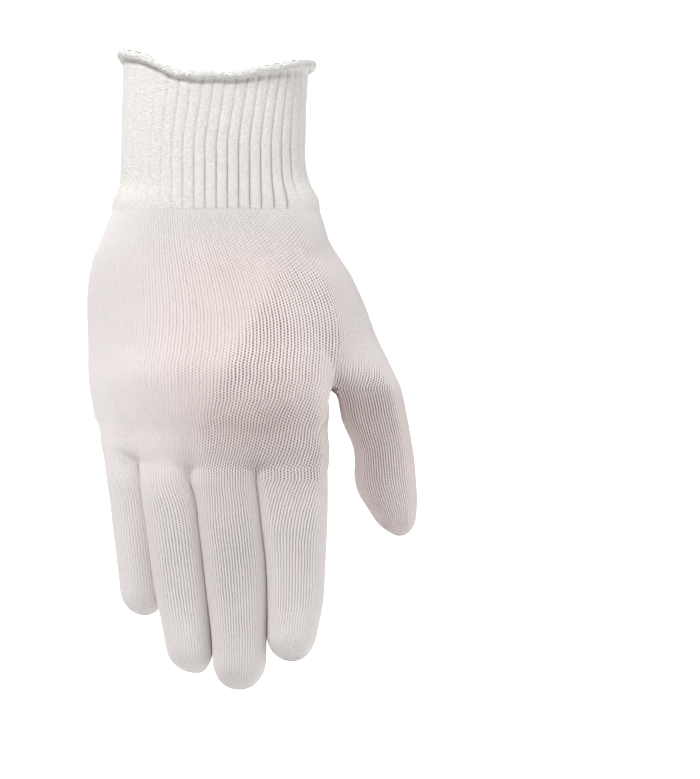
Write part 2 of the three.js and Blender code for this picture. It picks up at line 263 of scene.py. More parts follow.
@dataclass
class Lobe:
    """One rounded limb as stacked sections: its middle, half breadth and depths at each level of GRID."""

    x: Array
    y: Array
    half: Array
    back: Array
    palm: Array
    arch: Array
    power: float

    def read(self, name: str, z: Array | float) -> Array:
        """Reads one of the section's sizes at any level."""
        return np.interp(z, GRID, getattr(self, name))

    def distance(self, x: Array, y: Array, z: Array) -> Array:
        """Tells roughly how far points lie outside the limb's surface.

        Args:
            x: The points' x.
            y: The points' y.
            z: The points' level.

        Returns:
            The distance in millimetres, below zero inside.
        """
        flat = y - self.read("arch", z) * arch_shift(x) - self.read("y", z)
        half = self.read("half", z)
        depth = np.where(flat < 0, self.read("back", z), self.read("palm", z))
        reach = (np.abs(x - self.read("x", z)) / half) ** self.power + (np.abs(flat) / depth) ** self.power
        return (reach ** (1 / self.power) - 1) * np.minimum(half, depth)


def hand_lobe() -> Lobe:
    """The hand without its thumb and fingers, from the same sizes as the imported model.

    Returns:
        The limb.
    """
    drop = (CUFF_END - GRID) / HAND_LENGTH
    left = HAND_SECTIONS.at("left", drop) * HAND_BREADTH
    right = HAND_SECTIONS.at("right", drop) * HAND_BREADTH
    middle, back, palm = (HAND_SECTIONS.at(name, drop) * HAND_DEPTH for name in ("middle", "back", "palm"))
    arch = ARCH * HAND_BREADTH * smoothstep(drop, 0, 0.6)
    return Lobe((left + right) / 2, middle, (right - left) / 2, back, palm, arch, HAND_POWER)


@dataclass(frozen=True)
class Digit:
    """The sizes of one finger: which lines bound it and how its tip closes."""

    start: str
    stop: str
    length: float
    depth: float
    hidden: float
    root: float
    curl: float
    lean: float
    press: float = 0.7

    @property
    def tip(self) -> float:
        """The level of the finger's tip."""
        return FORK - self.length

    def lobe(self) -> Lobe:
        """The finger's limb, a little broader than its space so that neighbours press flat together.

        Returns:
            The limb, closed to nothing below its tip.
        """
        drop = (FORK - GRID) / MIDDLE_LENGTH
        press = self.press * (1 - smoothstep(FORK - GRID, 0.45 * self.length, 0.8 * self.length))
        left = FINGER_LINES.at(self.start, drop) * HAND_BREADTH - press * (self.start != "outside")
        right = (FINGER_LINES.at(self.stop, drop) + self.hidden) * HAND_BREADTH
        right = right + press * (self.stop != "inside")
        half = (right - left) / 2
        x = (left + right) / 2
        y = (self.root + self.curl * np.maximum(0.0, drop) ** 1.25) * HAND_BREADTH
        depth = np.full_like(x, self.depth * HAND_DEPTH)
        return capped(x, y, half, depth, self.tip, self.lean * HAND_BREADTH)


def capped(x: Array, y: Array, half: Array, depth: Array, tip: float, lean: float) -> Lobe:
    """Closes a limb's lower end in a rounded tip.

    Args:
        x: The middle's x at each level.
        y: The middle's y at each level.
        half: The half breadth at each level.
        depth: The half depth at each level.
        tip: The level of the tip.
        lean: How far the tip leans to the thumb's side.

    Returns:
        The limb.
    """
    height = float(np.interp(tip, GRID, half)) * 1.15
    turn = np.arcsin(np.clip((tip + height - GRID) / height, 0.0, 0.9995))
    close = np.cos(turn)
    across = np.maximum(np.cos(turn * 0.95), 0.02)
    shut = depth * close
    return Lobe(x + lean * (1 - close), y, half * across, shut, shut, np.zeros_like(x), DIGIT_POWER)


DIGITS = {
    "little_finger": Digit("outside", "little_ring", LITTLE_LENGTH, 0.215, 0.02, 0.104, 0.13, 0.0),
    "ring_finger": Digit("little_ring", "ring_middle", RING_LENGTH, 0.24, 0.0, 0.022, 0.11, 0.02),
    "middle_finger": Digit("ring_middle", "middle_index", MIDDLE_LENGTH, 0.26, 0.0, 0.006, 0.1, 0.0),
    "index_finger": Digit("middle_index", "inside", INDEX_LENGTH, 0.255, 0.0, 0.012, 0.085, 0.01),
}
THUMB_TIP = THUMB_FORK - THUMB_LENGTH


def thumb_lobe() -> Lobe:
    """The thumb with its base in the hand.

    Returns:
        The limb.
    """
    below = THUMB_FORK - GRID
    drop = below / np.where(below < 0, THUMB_BASE_LENGTH, THUMB_LENGTH)
    left = THUMB_SECTIONS.at("left", drop) * THUMB_BREADTH
    right = THUMB_SECTIONS.at("right", drop) * THUMB_BREADTH
    edge = HAND_SECTIONS.at("right", THUMB_FORK_SHARE) * HAND_BREADTH
    shift = edge - THUMB_SECTIONS.at("left", 0.0) * THUMB_BREADTH
    depth = THUMB_SECTIONS.at("depth", drop) * THUMB_BREADTH
    y = THUMB_SECTIONS.at("middle", drop) * THUMB_BREADTH
    return capped((left + right) / 2 + shift, y, (right - left) / 2, depth, THUMB_TIP, 0.0)


def blend_min(first: Array, second: Array, reach: Array) -> Array:
    """Joins two distances with a soft fillet.

    Args:
        first: One limb's distance.
        second: The other's.
        reach: The fillet's reach in millimetres.

    Returns:
        The distance to the two together.
    """
    gap = np.maximum(reach - np.abs(first - second), 0.0) / reach
    return np.minimum(first, second) - gap * gap * reach / 4


class Body:
    """The whole glove below the cuff as rounded limbs that blend above their forks and part below them."""

    THUMB_FILLET = (1.4, 7.0)
    ROOT_FILLET = (1.0, 4.5)
    HAND_FILLET = (2.5, 6.0)
    THUMB_SINK = 9.0
    ROOT_SINK = 5.0
    HALVINGS = 30

    def __init__(self) -> None:
        """Sets up the limbs."""
        self.hand = hand_lobe()
        self.thumb = thumb_lobe()
        self.fingers = {name: digit.lobe() for name, digit in DIGITS.items()}
        self.order = list(DIGITS)
        right = self.hand.x + self.hand.half - self.hand.back
        local = Lobe(
            right, self.hand.y + self.hand.arch * arch_shift(right), self.hand.back, self.hand.back,
            self.hand.back, np.zeros_like(right), 2.0,
        )
        self.parting_thumb = self.parting(local, self.thumb)
        self.partings = [
            self.parting(self.fingers[a], self.fingers[b]) for a, b in zip(self.order, self.order[1:])
        ]

    @staticmethod
    def parting(first: Lobe, second: Lobe) -> dict[str, Array]:
        """Finds the plane between two limbs at each level.

        Args:
            first: The limb at the little finger's side.
            second: The limb at the thumb's side.

        Returns:
            The plane's normal and a point on it, at each level of GRID.
        """
        dx, dy = second.x - first.x, second.y - first.y
        nx = dx / (first.half + second.half) ** 2
        ny = dy / (first.palm + second.palm) ** 2
        size = np.hypot(nx, ny)
        low, high = np.zeros_like(dx), np.ones_like(dx)
        for _ in range(Body.HALVINGS):
            middle = (low + high) / 2
            x, y = first.x + dx * middle, first.y + dy * middle
            nearer = first.distance(x, y, GRID) < second.distance(x, y, GRID)
            low, high = np.where(nearer, middle, low), np.where(nearer, high, middle)
        return {"nx": nx / size, "ny": ny / size, "px": first.x + dx * low, "py": first.y + dy * low}

    @staticmethod
    def beyond(parting: dict[str, Array], x: Array, y: Array, z: Array) -> Array:
        """How far points lie past a parting, to the thumb's side."""
        nx, ny, px, py = (np.interp(z, GRID, parting[key]) for key in ("nx", "ny", "px", "py"))
        return nx * (x - px) + ny * (y - py)

    def upper(self, x: Array, y: Array, z: Array) -> Array:
        """The distance to the hand and thumb together, above the thumb's fork.

        Args:
            x: The points' x.
            y: The points' y.
            z: The points' level.

        Returns:
            The distance in millimetres.
        """
        reach = mix(*self.THUMB_FILLET, smoothstep(z, THUMB_FORK, THUMB_FORK + 26))
        sunk = self.THUMB_SINK * smoothstep(z, CUFF_END - 26, CUFF_END - 2)
        return blend_min(self.hand.distance(x, y, z), self.thumb.distance(x, y, z) + sunk, reach)

    def lower(self, x: Array, y: Array, z: Array, first: int = 0) -> Array:
        """The distance to the hand and the fingers' roots, between the thumb's fork and the fingers'.

        Args:
            x: The points' x.
            y: The points' y.
            z: The points' level.
            first: The first finger that still belongs, counted from the little finger.

        Returns:
            The distance in millimetres.
        """
        between = mix(*self.ROOT_FILLET, smoothstep(z, FORK, FORK + 14))
        onto = mix(*self.HAND_FILLET, smoothstep(z, FORK, FORK + 7))
        sunk = self.ROOT_SINK * smoothstep(z, FORK + 12, FORK + 30)
        fingers = np.full(np.broadcast(x, z).shape, FAR)
        for name in self.order[first:]:
            fingers = blend_min(fingers, self.fingers[name].distance(x, y, z) + sunk, between)
        aside = np.abs(x - self.hand.read("x", z)) / self.hand.read("half", z)
        push = 2.5 * smoothstep(-z, 136.0, 150.0) * smoothstep(aside, 0.75, 0.95)
        push = np.maximum(push, 2.6 * smoothstep(-z, 150.0, -FORK))
        total = blend_min(self.hand.distance(x, y, z) + push, fingers, onto)
        near = self.beyond(self.parting_thumb, x, y, z) - 3.0 * smoothstep(THUMB_FORK - z, 2.0, 26.0)
        total = np.maximum(total, np.where(z > THUMB_FORK - 30, near, -FAR))
        if first:
            total = np.maximum(total, -self.beyond(self.partings[first - 1], x, y, z))
        return total

    def stall(self, name: str, x: Array, y: Array, z: Array) -> Array:
        """The distance to one stall, cut flat where it presses on its neighbours.

        Args:
            name: The stall's name.
            x: The points' x.
            y: The points' y.
            z: The points' level.

        Returns:
            The distance in millimetres.
        """
        if name == "thumb":
            near = -self.beyond(self.parting_thumb, x, y, z)
            return np.maximum(self.thumb.distance(x, y, z), near)
        total = self.fingers[name].distance(x, y, z)
        place = self.order.index(name)
        slack = 0.06 * smoothstep(FORK - z, 0.0, 3.0)
        if place:
            total = np.maximum(total, slack - self.beyond(self.partings[place - 1], x, y, z))
        if place < 3:
            total = np.maximum(total, self.beyond(self.partings[place], x, y, z) + slack)
        return total


@dataclass
class Rows:
    """The levels of a tube's rows and how much each row tilts."""

    levels: Array
    tilt: Array


def even_levels(top: float, bottom: float, step: float) -> Array:
    """Levels from one height down to another, about a step apart."""
    return np.linspace(top, bottom, max(2, int(round((top - bottom) / step)) + 1))


def level_rows(top: float, bottom: float) -> Rows:
    """Rows of the hand, two to a course and without a tilt."""
    levels = even_levels(top, bottom, COURSE / 2)
    return Rows(levels, np.zeros_like(levels))


def stall_rows(top: float, tip: float, height: float, step: float, tilt: float) -> Rows:
    """Rows down a stall and round its tip.

    Args:
        top: The first row's level.
        tip: The tip's level.
        height: How high the tip's rounding is.
        step: The distance between rows.
        tilt: How much the rows rise to the thumb's side, for each millimetre across.

    Returns:
        The rows.
    """
    straight = even_levels(top, tip + height, step)
    turns = np.linspace(0, math.pi / 2, int(round(height * 1.35 / step)) + 1)[1:]
    levels = np.concatenate([straight, tip + height - height * np.sin(turns) * 0.9995])
    fade = smoothstep(top - levels, 0, 16) * smoothstep(levels, tip + 1.0, tip + height + 4)
    return Rows(levels, tilt * fade)


def cast_out(distance: Callable[[Array, Array, Array], Array], start: Array, heading: Array, arch: Array,
             rows: Rows, reach: float) -> Array:
    """Finds where rays from inside a body leave it.

    Args:
        distance: The body's distance.
        start: Each ray's start, rows by rays by x and y.
        heading: Each ray's direction, rows by rays by x and y.
        arch: The arch's height at each row.
        rows: The rows' levels and tilts.
        reach: How far a ray may go, in lengths of its direction.

    Returns:
        The points on the surface, rows by rays by x, y and z.
    """
    middle = start[..., 0].mean(axis=1, keepdims=True)
    level, tilt = rows.levels[:, None], rows.tilt[:, None]

    def place(share: Array) -> tuple[Array, Array, Array]:
        """The point that a share of the reach gives on each ray."""
        x = start[..., 0] + heading[..., 0] * share
        y = start[..., 1] + heading[..., 1] * share + arch[:, None] * arch_shift(x)
        return x, y, level + tilt * (x - middle)

    low = np.zeros(start.shape[:2])
    high = np.full(start.shape[:2], reach)
    for _ in range(20):
        half = (low + high) / 2
        inside = distance(*place(half)) < 0
        low, high = np.where(inside, half, low), np.where(inside, high, half)
    return np.stack(place((low + high) / 2), axis=-1)


@dataclass
class Tube:
    """A tube of knitting: rows of points, two to a course, with two columns to a wale."""

    points: Array
    first_wale: float
    first_course: float
    normals: Array = field(init=False)

    def __post_init__(self) -> None:
        """Works out the outward directions."""
        self.normals = outward(self.points)

    @property
    def columns(self) -> int:
        """The number of columns round the tube."""
        return self.points.shape[1]

    @property
    def last_course(self) -> float:
        """The course number of the last row."""
        return self.first_course + 0.5 * (self.points.shape[0] - 1)

    def wales(self, columns: Array) -> Array:
        """The wale numbers of columns."""
        return self.first_wale + 0.5 * columns

    def courses(self, rows: Array) -> Array:
        """The course numbers of rows."""
        return self.first_course + 0.5 * rows


def measure(ring: Array, most: Array | None = None) -> Array:
    """The length along a closed ring at each of its points, and all round at its end.

    Args:
        ring: The ring's points.
        most: The most that each step may count, so that the depth of a crease isn't counted.

    Returns:
        The lengths.
    """
    steps = np.linalg.norm(np.roll(ring, -1, axis=0) - ring, axis=1)
    if most is not None:
        steps = np.minimum(steps, most)
    return np.concatenate([[0.0], np.cumsum(steps)])


@dataclass
class Surface:
    """A limb's surface as one ring of points for each row, with lengths measured along it."""

    rings: Array
    rows: Rows
    most: Array | None = None
    lengths: Array = field(init=False)
    shares: Array = field(init=False)

    def __post_init__(self) -> None:
        """Measures the rings."""
        caps = [None] * len(self.rings) if self.most is None else self.most
        measured = np.stack([measure(ring, cap) for ring, cap in zip(self.rings, caps)])
        self.lengths = measured[:, -1]
        self.shares = measured / self.lengths[:, None]


def read_ring(ring: Array, fractions: Array, shares: Array) -> Array:
    """Points at given shares of a closed ring's length.

    Args:
        ring: The ring's points.
        fractions: The share of the ring's length at each of them.
        shares: The shares to read.

    Returns:
        The points.
    """
    closed = np.vstack([ring, ring[:1]])
    wrapped = np.mod(shares, 1.0)
    return np.stack([np.interp(wrapped, fractions, closed[:, k]) for k in range(3)], axis=-1)


def project(points: Array, ring: Array, fractions: Array) -> Array:
    """The share of a closed ring's length nearest to each point.

    Args:
        points: The points to look up.
        ring: The ring's points.
        fractions: The share of the ring's length at each of them.

    Returns:
        The shares.
    """
    gaps = np.linalg.norm(points[:, None, :] - ring[None, :, :], axis=2)
    nearest = gaps.argmin(axis=1)
    best = np.full(len(points), np.inf)
    shares = np.zeros(len(points))
    count = len(ring)
    for side in (-1, 0):
        a = (nearest + side) % count
        b = (a + 1) % count
        edge = ring[b] - ring[a]
        t = np.clip(((points - ring[a]) * edge).sum(1) / np.maximum((edge * edge).sum(1), 1e-12), 0, 1)
        gap = np.linalg.norm(ring[a] + edge * t[:, None] - points, axis=1)
        better = gap < best
        best = np.where(better, gap, best)
        width = fractions[a + 1] - fractions[a]
        shares = np.where(better, fractions[a] + t * width, shares)
    return shares


def rising(shares: Array, is_web: Array) -> Array:
    """Makes shares rise along a ring, with those of the web spread evenly between their neighbours.

    Args:
        shares: The shares, which may wrap past 1.
        is_web: Which of them belong to new columns.

    Returns:
        The shares, always rising, over less than one turn.
    """
    known = np.flatnonzero(~is_web)
    turns = np.unwrap(shares[known] * TURN) / TURN
    turns = np.maximum.accumulate(turns)
    count = len(shares)
    places = np.concatenate([known, [known[0] + count]])
    values = np.concatenate([turns, [turns[0] + 1.0]])
    full = np.interp(np.arange(count + known[0] + 1), places, values)
    if known[0]:
        full[: known[0]] = full[count : count + known[0]] - 1.0
    return full[:count]


@dataclass
class Weave:
    """How a tube's columns start, spread out and end."""

    start: Array | None
    is_web: Array | None
    columns: int
    anchor: int
    spread: float
    twist: float = 0.0
    settle: float = 4.0
    pins: dict[int, Array] = field(default_factory=dict)
    pin_height: float = 18.0
    pin_settled: float = 18.0
    is_late: bool = False
    shares: Array | None = None

    def lay(self, surface: Surface) -> Array:
        """Lays the columns on a surface. A pin holds a column at a distance along each ring.

        Args:
            surface: The surface.

        Returns:
            The tube's points, rows by columns by x, y and z.
        """
        count = self.columns
        index = np.arange(count)
        rows, rings = surface.rows, surface.rings
        top = rows.levels[0]
        if self.start is None:
            first = index / count
            offset = 0.0
        else:
            first = rising(project(self.start, rings[0], surface.shares[0]), self.is_web)
            offset = first[self.anchor] - self.anchor / count
        even = index / count + offset
        after = np.mod(index - self.anchor, count)
        pins = sorted((int(after[column]), column) for column in self.pins)
        out = np.zeros((len(rings), count, 3))
        for r, ring in enumerate(rings):
            share = smoothstep(top - rows.levels[r], 0, self.spread)
            left = 1 - float(np.clip((top - rows.levels[r]) / self.spread, 0, 1))
            length = surface.lengths[r]
            shares = mix(first, even, share) + self.twist * (1 - left * left) / length
            if pins:
                reached = (self.pin_height - (rows.levels[r] - rows.levels[-1])) / self.pin_settled
                reached = float(np.clip(reached, 0, 1))
                pull = reached ** 1.5 if self.is_late else (smoothstep(reached, 0, 1) + reached) / 2
                moves = [self.pins[c][r] / length - shares[c] for _, c in pins]
                moves = [(move + 0.5) % 1.0 - 0.5 for move in moves]
                knots = [0] + [place for place, _ in pins] + [count]
                shares = shares + pull * np.interp(after, knots, [0.0] + moves + [0.0])
            out[r] = read_ring(ring, surface.shares[r], shares)
        self.shares = shares
        if self.start is not None:
            gap = self.start - out[0]
            for r in range(len(rings)):
                fade = 1 - smoothstep(top - rows.levels[r], 0, self.settle)
                out[r] += gap * fade
        return out


class Knitting:
    """Lays the glove's wales and courses over its limbs, from the cuff down through every fork."""

    WALES = 230
    HAND_RAYS = 760
    STALL_RAYS = 360
    THUMB_WEB = 16
    FINGER_WEB = 16
    WEB_SAG = 0.7
    THUMB_TILT = 0.33
    THUMB_ROW_STEP = 0.455
    FINGER_ROW_STEP = 0.465
    HAND_REACH = 70.0
    STALL_REACH = 1.9

    def __init__(self, body: Body) -> None:
        """Lays every tube.

        Args:
            body: The glove's limbs.
        """
        self.body = body
        self.tubes: dict[str, Tube] = {}
        self.webs: dict[str, Array] = {}
        self.links: dict[str, list[tuple[str, Array]]] = {}
        self.lay_all()
        self.share_normals()

    def hand_surface(self, distance: Callable, rows: Rows, with_thumb: bool, last: float = -FAR) -> Surface:
        """The hand's surface, its rings running from its left side over the back.

        Args:
            distance: The distance to the limbs.
            rows: The rows.
            with_thumb: Whether the spine that the rays leave runs on into the thumb.
            last: How far to the left the spine may start.

        Returns:
            The surface.
        """
        z = rows.levels
        hand, thumb = self.body.hand, self.body.thumb
        depth = np.minimum(hand.read("back", z), hand.read("palm", z))
        inset = np.maximum(depth, 9.0) * 0.95
        left = hand.read("x", z) - hand.read("half", z) + inset
        right = hand.read("x", z) + hand.read("half", z) - inset
        arch = hand.read("arch", z)
        low = np.stack([left, hand.read("y", z) * np.ones_like(left)], axis=-1)
        high = np.stack([right, hand.read("y", z) * np.ones_like(left)], axis=-1)
        if with_thumb:
            x = thumb.read("x", z)
            share = smoothstep(x - right, 0, 12)
            y = thumb.read("y", z) - arch * arch_shift(x)
            high = np.stack([mix(right, x, share), mix(high[:, 1], y, share)], axis=-1)
        low[:, 0] = np.maximum(low[:, 0], last)
        along = high - low
        size = np.linalg.norm(along, axis=1, keepdims=True)
        ahead = along / size
        front = np.stack([ahead[:, 1], -ahead[:, 0]], axis=-1)
        fan = self.HAND_RAYS // 10
        half = fan // 2
        flat = (self.HAND_RAYS - 2 * fan) // 2
        runs = [half, flat, fan, flat, half]
        spans = [(0, 0, 0.0, 0.5), (0, 1, 0.5, 0.5), (1, 1, 0.5, 1.5), (1, 0, 1.5, 1.5), (0, 0, 1.5, 2.0)]
        shift = np.concatenate([np.linspace(a, b, n, endpoint=False) for n, (a, b, _, _) in zip(runs, spans)])
        turns = np.concatenate([np.linspace(a, b, n, endpoint=False) for n, (_, _, a, b) in zip(runs, spans)])
        c, s = np.cos(turns * math.pi)[None, :, None], np.sin(turns * math.pi)[None, :, None]
        places = low[:, None] + along[:, None] * shift[None, :, None]
        headings = front[:, None] * s - ahead[:, None] * c
        rings = cast_out(distance, places, headings, arch, rows, self.HAND_REACH)
        most = np.full(rings.shape[:2], FAR)
        is_flat = np.repeat([False, True, False, True, False], runs)
        most[:, is_flat] = size / flat * 1.1
        return Surface(rings, rows, most)

    def stall_surface(self, name: str, rows: Rows) -> Surface:
        """A stall's surface, its rings running from its left side over the back.

        Args:
            name: The stall's name.
            rows: The rows.

        Returns:
            The surface.
        """
        lobe = self.body.thumb if name == "thumb" else self.body.fingers[name]
        z = rows.levels
        across, deep = rounded(self.STALL_RAYS, lobe.power)
        heading = np.stack([across * lobe.read("half", z)[:, None], deep * lobe.read("back", z)[:, None]], -1)
        middle = np.stack([lobe.read("x", z), lobe.read("y", z)], axis=-1)
        start = np.repeat(middle[:, None, :], self.STALL_RAYS, axis=1)
        distance = partial(self.body.stall, name)
        return Surface(cast_out(distance, start, heading, np.zeros_like(z), rows, self.STALL_REACH), rows)

    def crossings(self, surface: Surface, row: int, parting: dict[str, Array]) -> tuple[float, float]:
        """Finds where a parting crosses a ring.

        Args:
            surface: The surface.
            row: The ring's row.
            parting: The parting.

        Returns:
            The shares of the ring's length at its back and at its palm side.
        """
        ring, fractions = surface.rings[row], surface.shares[row]
        side = self.body.beyond(parting, ring[:, 0], ring[:, 1], ring[:, 2])
        after = np.roll(side, -1)
        steps = np.flatnonzero((side < 0) != (after < 0))
        found = []
        for i in steps:
            t = side[i] / (side[i] - after[i])
            found.append(fractions[i] + t * (fractions[i + 1] - fractions[i]))
        rises = [f for f, i in zip(found, steps) if side[i] < 0]
        falls = [f for f, i in zip(found, steps) if side[i] >= 0]
        return rises[0], falls[-1]

    def crease_paths(self, surface: Surface, parting: dict[str, Array], near: float = 9.0) -> list[Array]:
        """Follows a fork's creases up from it, as distances along each ring from its left side.

        Args:
            surface: The surface that ends in the fork.
            parting: The fork's parting.
            near: How far up the creases are followed; above that their distance stays.

        Returns:
            The distances at the back and at the palm, for each row.
        """
        levels = surface.rows.levels
        last = len(levels) - 1
        paths = [np.zeros(last + 1), np.zeros(last + 1)]
        for r in range(last, -1, -1):
            if levels[r] - levels[-1] > near and r < last:
                for path in paths:
                    path[r] = path[r + 1]
                continue
            for path, share in zip(paths, self.crossings(surface, r, parting)):
                path[r] = ((share + 0.5) % 1.0 - 0.5) * surface.lengths[r]
        return paths

    @staticmethod
    def nearest_column(shares: Array, target: float, step: int = 4) -> int:
        """Finds the column nearest to a share of a ring's length.

        Args:
            shares: The columns' shares.
            target: The share.
            step: What the column's number is a multiple of.

        Returns:
            The column's number.
        """
        columns = np.arange(0, len(shares), step)
        moves = np.mod(target - shares[columns] + 0.5, 1.0) - 0.5
        return int(columns[int(np.abs(moves).argmin())])

    def lay_parent(self, name: str, surface: Surface, weave: Weave, partings: list, wale: float,
                   course: float, guides: Sequence[dict[str, Array]] = (),
                   leans: Sequence[int] = (0, 0, 0)) -> list[tuple[int, int]]:
        """Lays a tube that ends in a fork, with a column on each side of every parting.

        Args:
            name: The tube's name.
            surface: Its surface.
            weave: Its columns.
            partings: The partings of the fork at its end.
            wale: The wale number of its first column.
            course: The course number of its first row.
            guides: Partings of later forks, towards which columns run already.
            leans: How many columns further on the wale that runs into each parting's back starts.

        Returns:
            The columns at the back and at the palm for each parting.
        """
        weave.lay(surface)
        shares = weave.shares
        step = 4 if name == "upper" else 2
        creases = []
        for parting, lean in zip((*partings, *guides), leans):
            targets = self.crossings(surface, -1, parting)
            columns = [self.nearest_column(shares, target, step) for target in targets]
            columns[0] = (columns[0] + lean) % len(shares)
            paths = self.crease_paths(surface, parting)
            weave.pins.update(zip(columns, paths))
            creases.append((columns[0], columns[1]))
        creases = creases[: len(partings)]
        self.tubes[name] = Tube(weave.lay(surface), wale, course)
        return creases

    def web(self, name: str, parent: str, crease: tuple[int, int], columns: int) -> None:
        """Makes the new columns of a fork, on the line from its crease at the back to that at the palm.

        Args:
            name: The web's name.
            parent: The tube that ends in the fork.
            crease: The columns at the back and at the palm.
            columns: How many steps the line has.
        """
        ring = self.tubes[parent].points[-1]
        share = np.linspace(0, 1, columns + 1)[1:-1, None]
        line = ring[crease[0]] * (1 - share) + ring[crease[1]] * share
        line[:, 2] += self.WEB_SAG * np.sin(math.pi * share[:, 0])
        self.webs[name] = line

    def child(self, name: str, parent: str, parts: list) -> tuple[Array, Array]:
        """Gathers the points that a child tube starts from.

        Args:
            name: The child's name.
            parent: The parent's name.
            parts: Runs of the parent's columns, as a pair of numbers, and webs, as a name and a direction.

        Returns:
            The points, and which of them are new.
        """
        ring = self.tubes[parent].points[-1]
        count = len(ring)
        points, is_web, links = [], [], []
        for a, b in parts:
            if isinstance(a, str):
                line = self.webs[a][::b]
                points.append(line)
                is_web += [True] * len(line)
                order = np.arange(len(line))[::b]
                links.append((a, order))
            else:
                columns = np.arange(a, b + 1 if b >= a else b + 1 + count) % count
                points.append(ring[columns])
                is_web += [False] * len(columns)
                links.append((parent, columns))
        self.links[name] = links
        return np.vstack(points), np.array(is_web)

    def share_normals(self) -> None:
        """Gives the rows where a tube grows out of another the same outward directions on both."""
        for name, links in self.links.items():
            position = 0
            for source, columns in links:
                if source in self.tubes:
                    parent, child = self.tubes[source], self.tubes[name]
                    span = slice(position, position + len(columns))
                    both = unit(parent.normals[-1, columns] + child.normals[0, span])
                    parent.normals[-1, columns] = both
                    child.normals[0, span] = both
                position += len(columns)

    def lay_stall(self, name: str, parent: str, parts: list, anchor: int, twist: float,
                  spread: float = 18.0) -> None:
        """Lays one stall from the parent's last row to its tip.

        Args:
            name: The stall's name.
            parent: The tube that it grows from.
            parts: The parent's columns and the webs that it starts with.
            anchor: The column that keeps its place.
            twist: How far the columns turn round the stall while they spread.
            spread: The distance over which the columns spread evenly.
        """
        start, is_web = self.child(name, parent, parts)
        top = float(self.tubes[parent].points[-1, 0, 2])
        if name == "thumb":
            lobe, tip = self.body.thumb, THUMB_TIP
            tilt, step = self.THUMB_TILT, self.THUMB_ROW_STEP
        else:
            lobe, tip = self.body.fingers[name], DIGITS[name].tip
            tilt, step = 0.0, self.FINGER_ROW_STEP
        height = float(lobe.read("half", tip + 16.0)) * 1.02
        rows = stall_rows(top, tip, height, step, tilt)
        surface = self.stall_surface(name, rows)
        weave = Weave(start, is_web, len(start), anchor % len(start), spread, twist)
        wale = self.first_wale(name, parent)
        self.tubes[name] = Tube(weave.lay(surface), wale, self.tubes[parent].last_course)

    def first_wale(self, name: str, parent: str) -> float:
        """The wale number at which a child's first column continues the parent's."""
        source, columns = self.links[name][0]
        return self.tubes[parent].wales(float(columns[0]))

    def lay_all(self) -> None:
        """Lays the upper hand, the lower hand, the finger roots, the thumb and the fingers."""
        body = self.body
        surface = self.hand_surface(body.upper, level_rows(CUFF_END, THUMB_FORK), True)
        weave = Weave(None, None, 2 * self.WALES, 0, 1.0, pin_height=69.0, pin_settled=57.0)
        crease, = self.lay_parent("upper", surface, weave, [body.parting_thumb], 0.0, 0.0, leans=(-12,))
        self.web("thumb_web", "upper", crease, self.THUMB_WEB)

        f, k = crease
        start, is_web = self.child("lower", "upper", [(k, f), ("thumb_web", 1)])
        count = len(start)
        surface = self.hand_surface(body.lower, level_rows(THUMB_FORK, LITTLE_FORK), False)
        anchor = (2 * self.WALES - k) % count
        weave = Weave(start, is_web, count, anchor, 20.0, pin_height=26.0, pin_settled=26.0, is_late=True)
        wale = self.first_wale("lower", "upper")
        little, = self.lay_parent("lower", surface, weave, [body.partings[0]], wale,
                                  self.tubes["upper"].last_course, body.partings[1:], (0, 2, 9))
        self.web("little_web", "lower", little, self.FINGER_WEB)
        self.lay_stall("thumb", "upper", [(f, k), ("thumb_web", -1)], (k - f) // 2, 0.0)

        f, k = little
        start, is_web = self.child("roots", "lower", [(f, k), ("little_web", -1)])
        surface = self.hand_surface(partial(body.lower, first=1), level_rows(LITTLE_FORK, FORK), False, -20.0)
        anchor = ((k - f) % self.tubes["lower"].columns) // 2
        weave = Weave(start, is_web, len(start), anchor, 40.0, pin_height=6.0, pin_settled=6.0)
        wale = self.first_wale("roots", "lower")
        creases = self.lay_parent("roots", surface, weave, body.partings[1:], wale,
                                  self.tubes["lower"].last_course)
        self.web("ring_web", "roots", creases[0], self.FINGER_WEB)
        self.web("index_web", "roots", creases[1], self.FINGER_WEB)
        anchor = ((f - k) % self.tubes["lower"].columns) // 2
        self.lay_stall("little_finger", "lower", [(k, f), ("little_web", 1)], anchor, 2.4)
        (f1, k1), (f2, k2) = creases
        anchor = ((f1 - k1) % self.tubes["roots"].columns) // 2
        self.lay_stall("ring_finger", "roots", [(k1, f1), ("ring_web", 1)], anchor, 0.8)
        middle = [(f1, f2), ("index_web", 1), (k2, k1), ("ring_web", -1)]
        self.lay_stall("middle_finger", "roots", middle, (f2 - f1) // 2, -1.5)
        self.lay_stall("index_finger", "roots", [(f2, k2), ("index_web", -1)], (k2 - f2) // 2, -7.0, 26.0)


@dataclass(frozen=True)
class Form:
    """A soft swelling or hollow of the fabric on the back: an oval patch that stands out or sinks in."""

    x: float
    z: float
    breadth: float
    height: float
    rise: float

    def lift(self, points: Array, normals: Array) -> Array:
        """How far the form moves points outwards.

        Args:
            points: The points.
            normals: Their outward directions.

        Returns:
            The moves in millimetres.
        """
        across, along = points[..., 0] - self.x, points[..., 2] - self.z
        lift = self.rise * np.exp(-((across / self.breadth) ** 2) - (along / self.height) ** 2)
        return lift * smoothstep(-normals[..., 1], -0.15, 0.45)


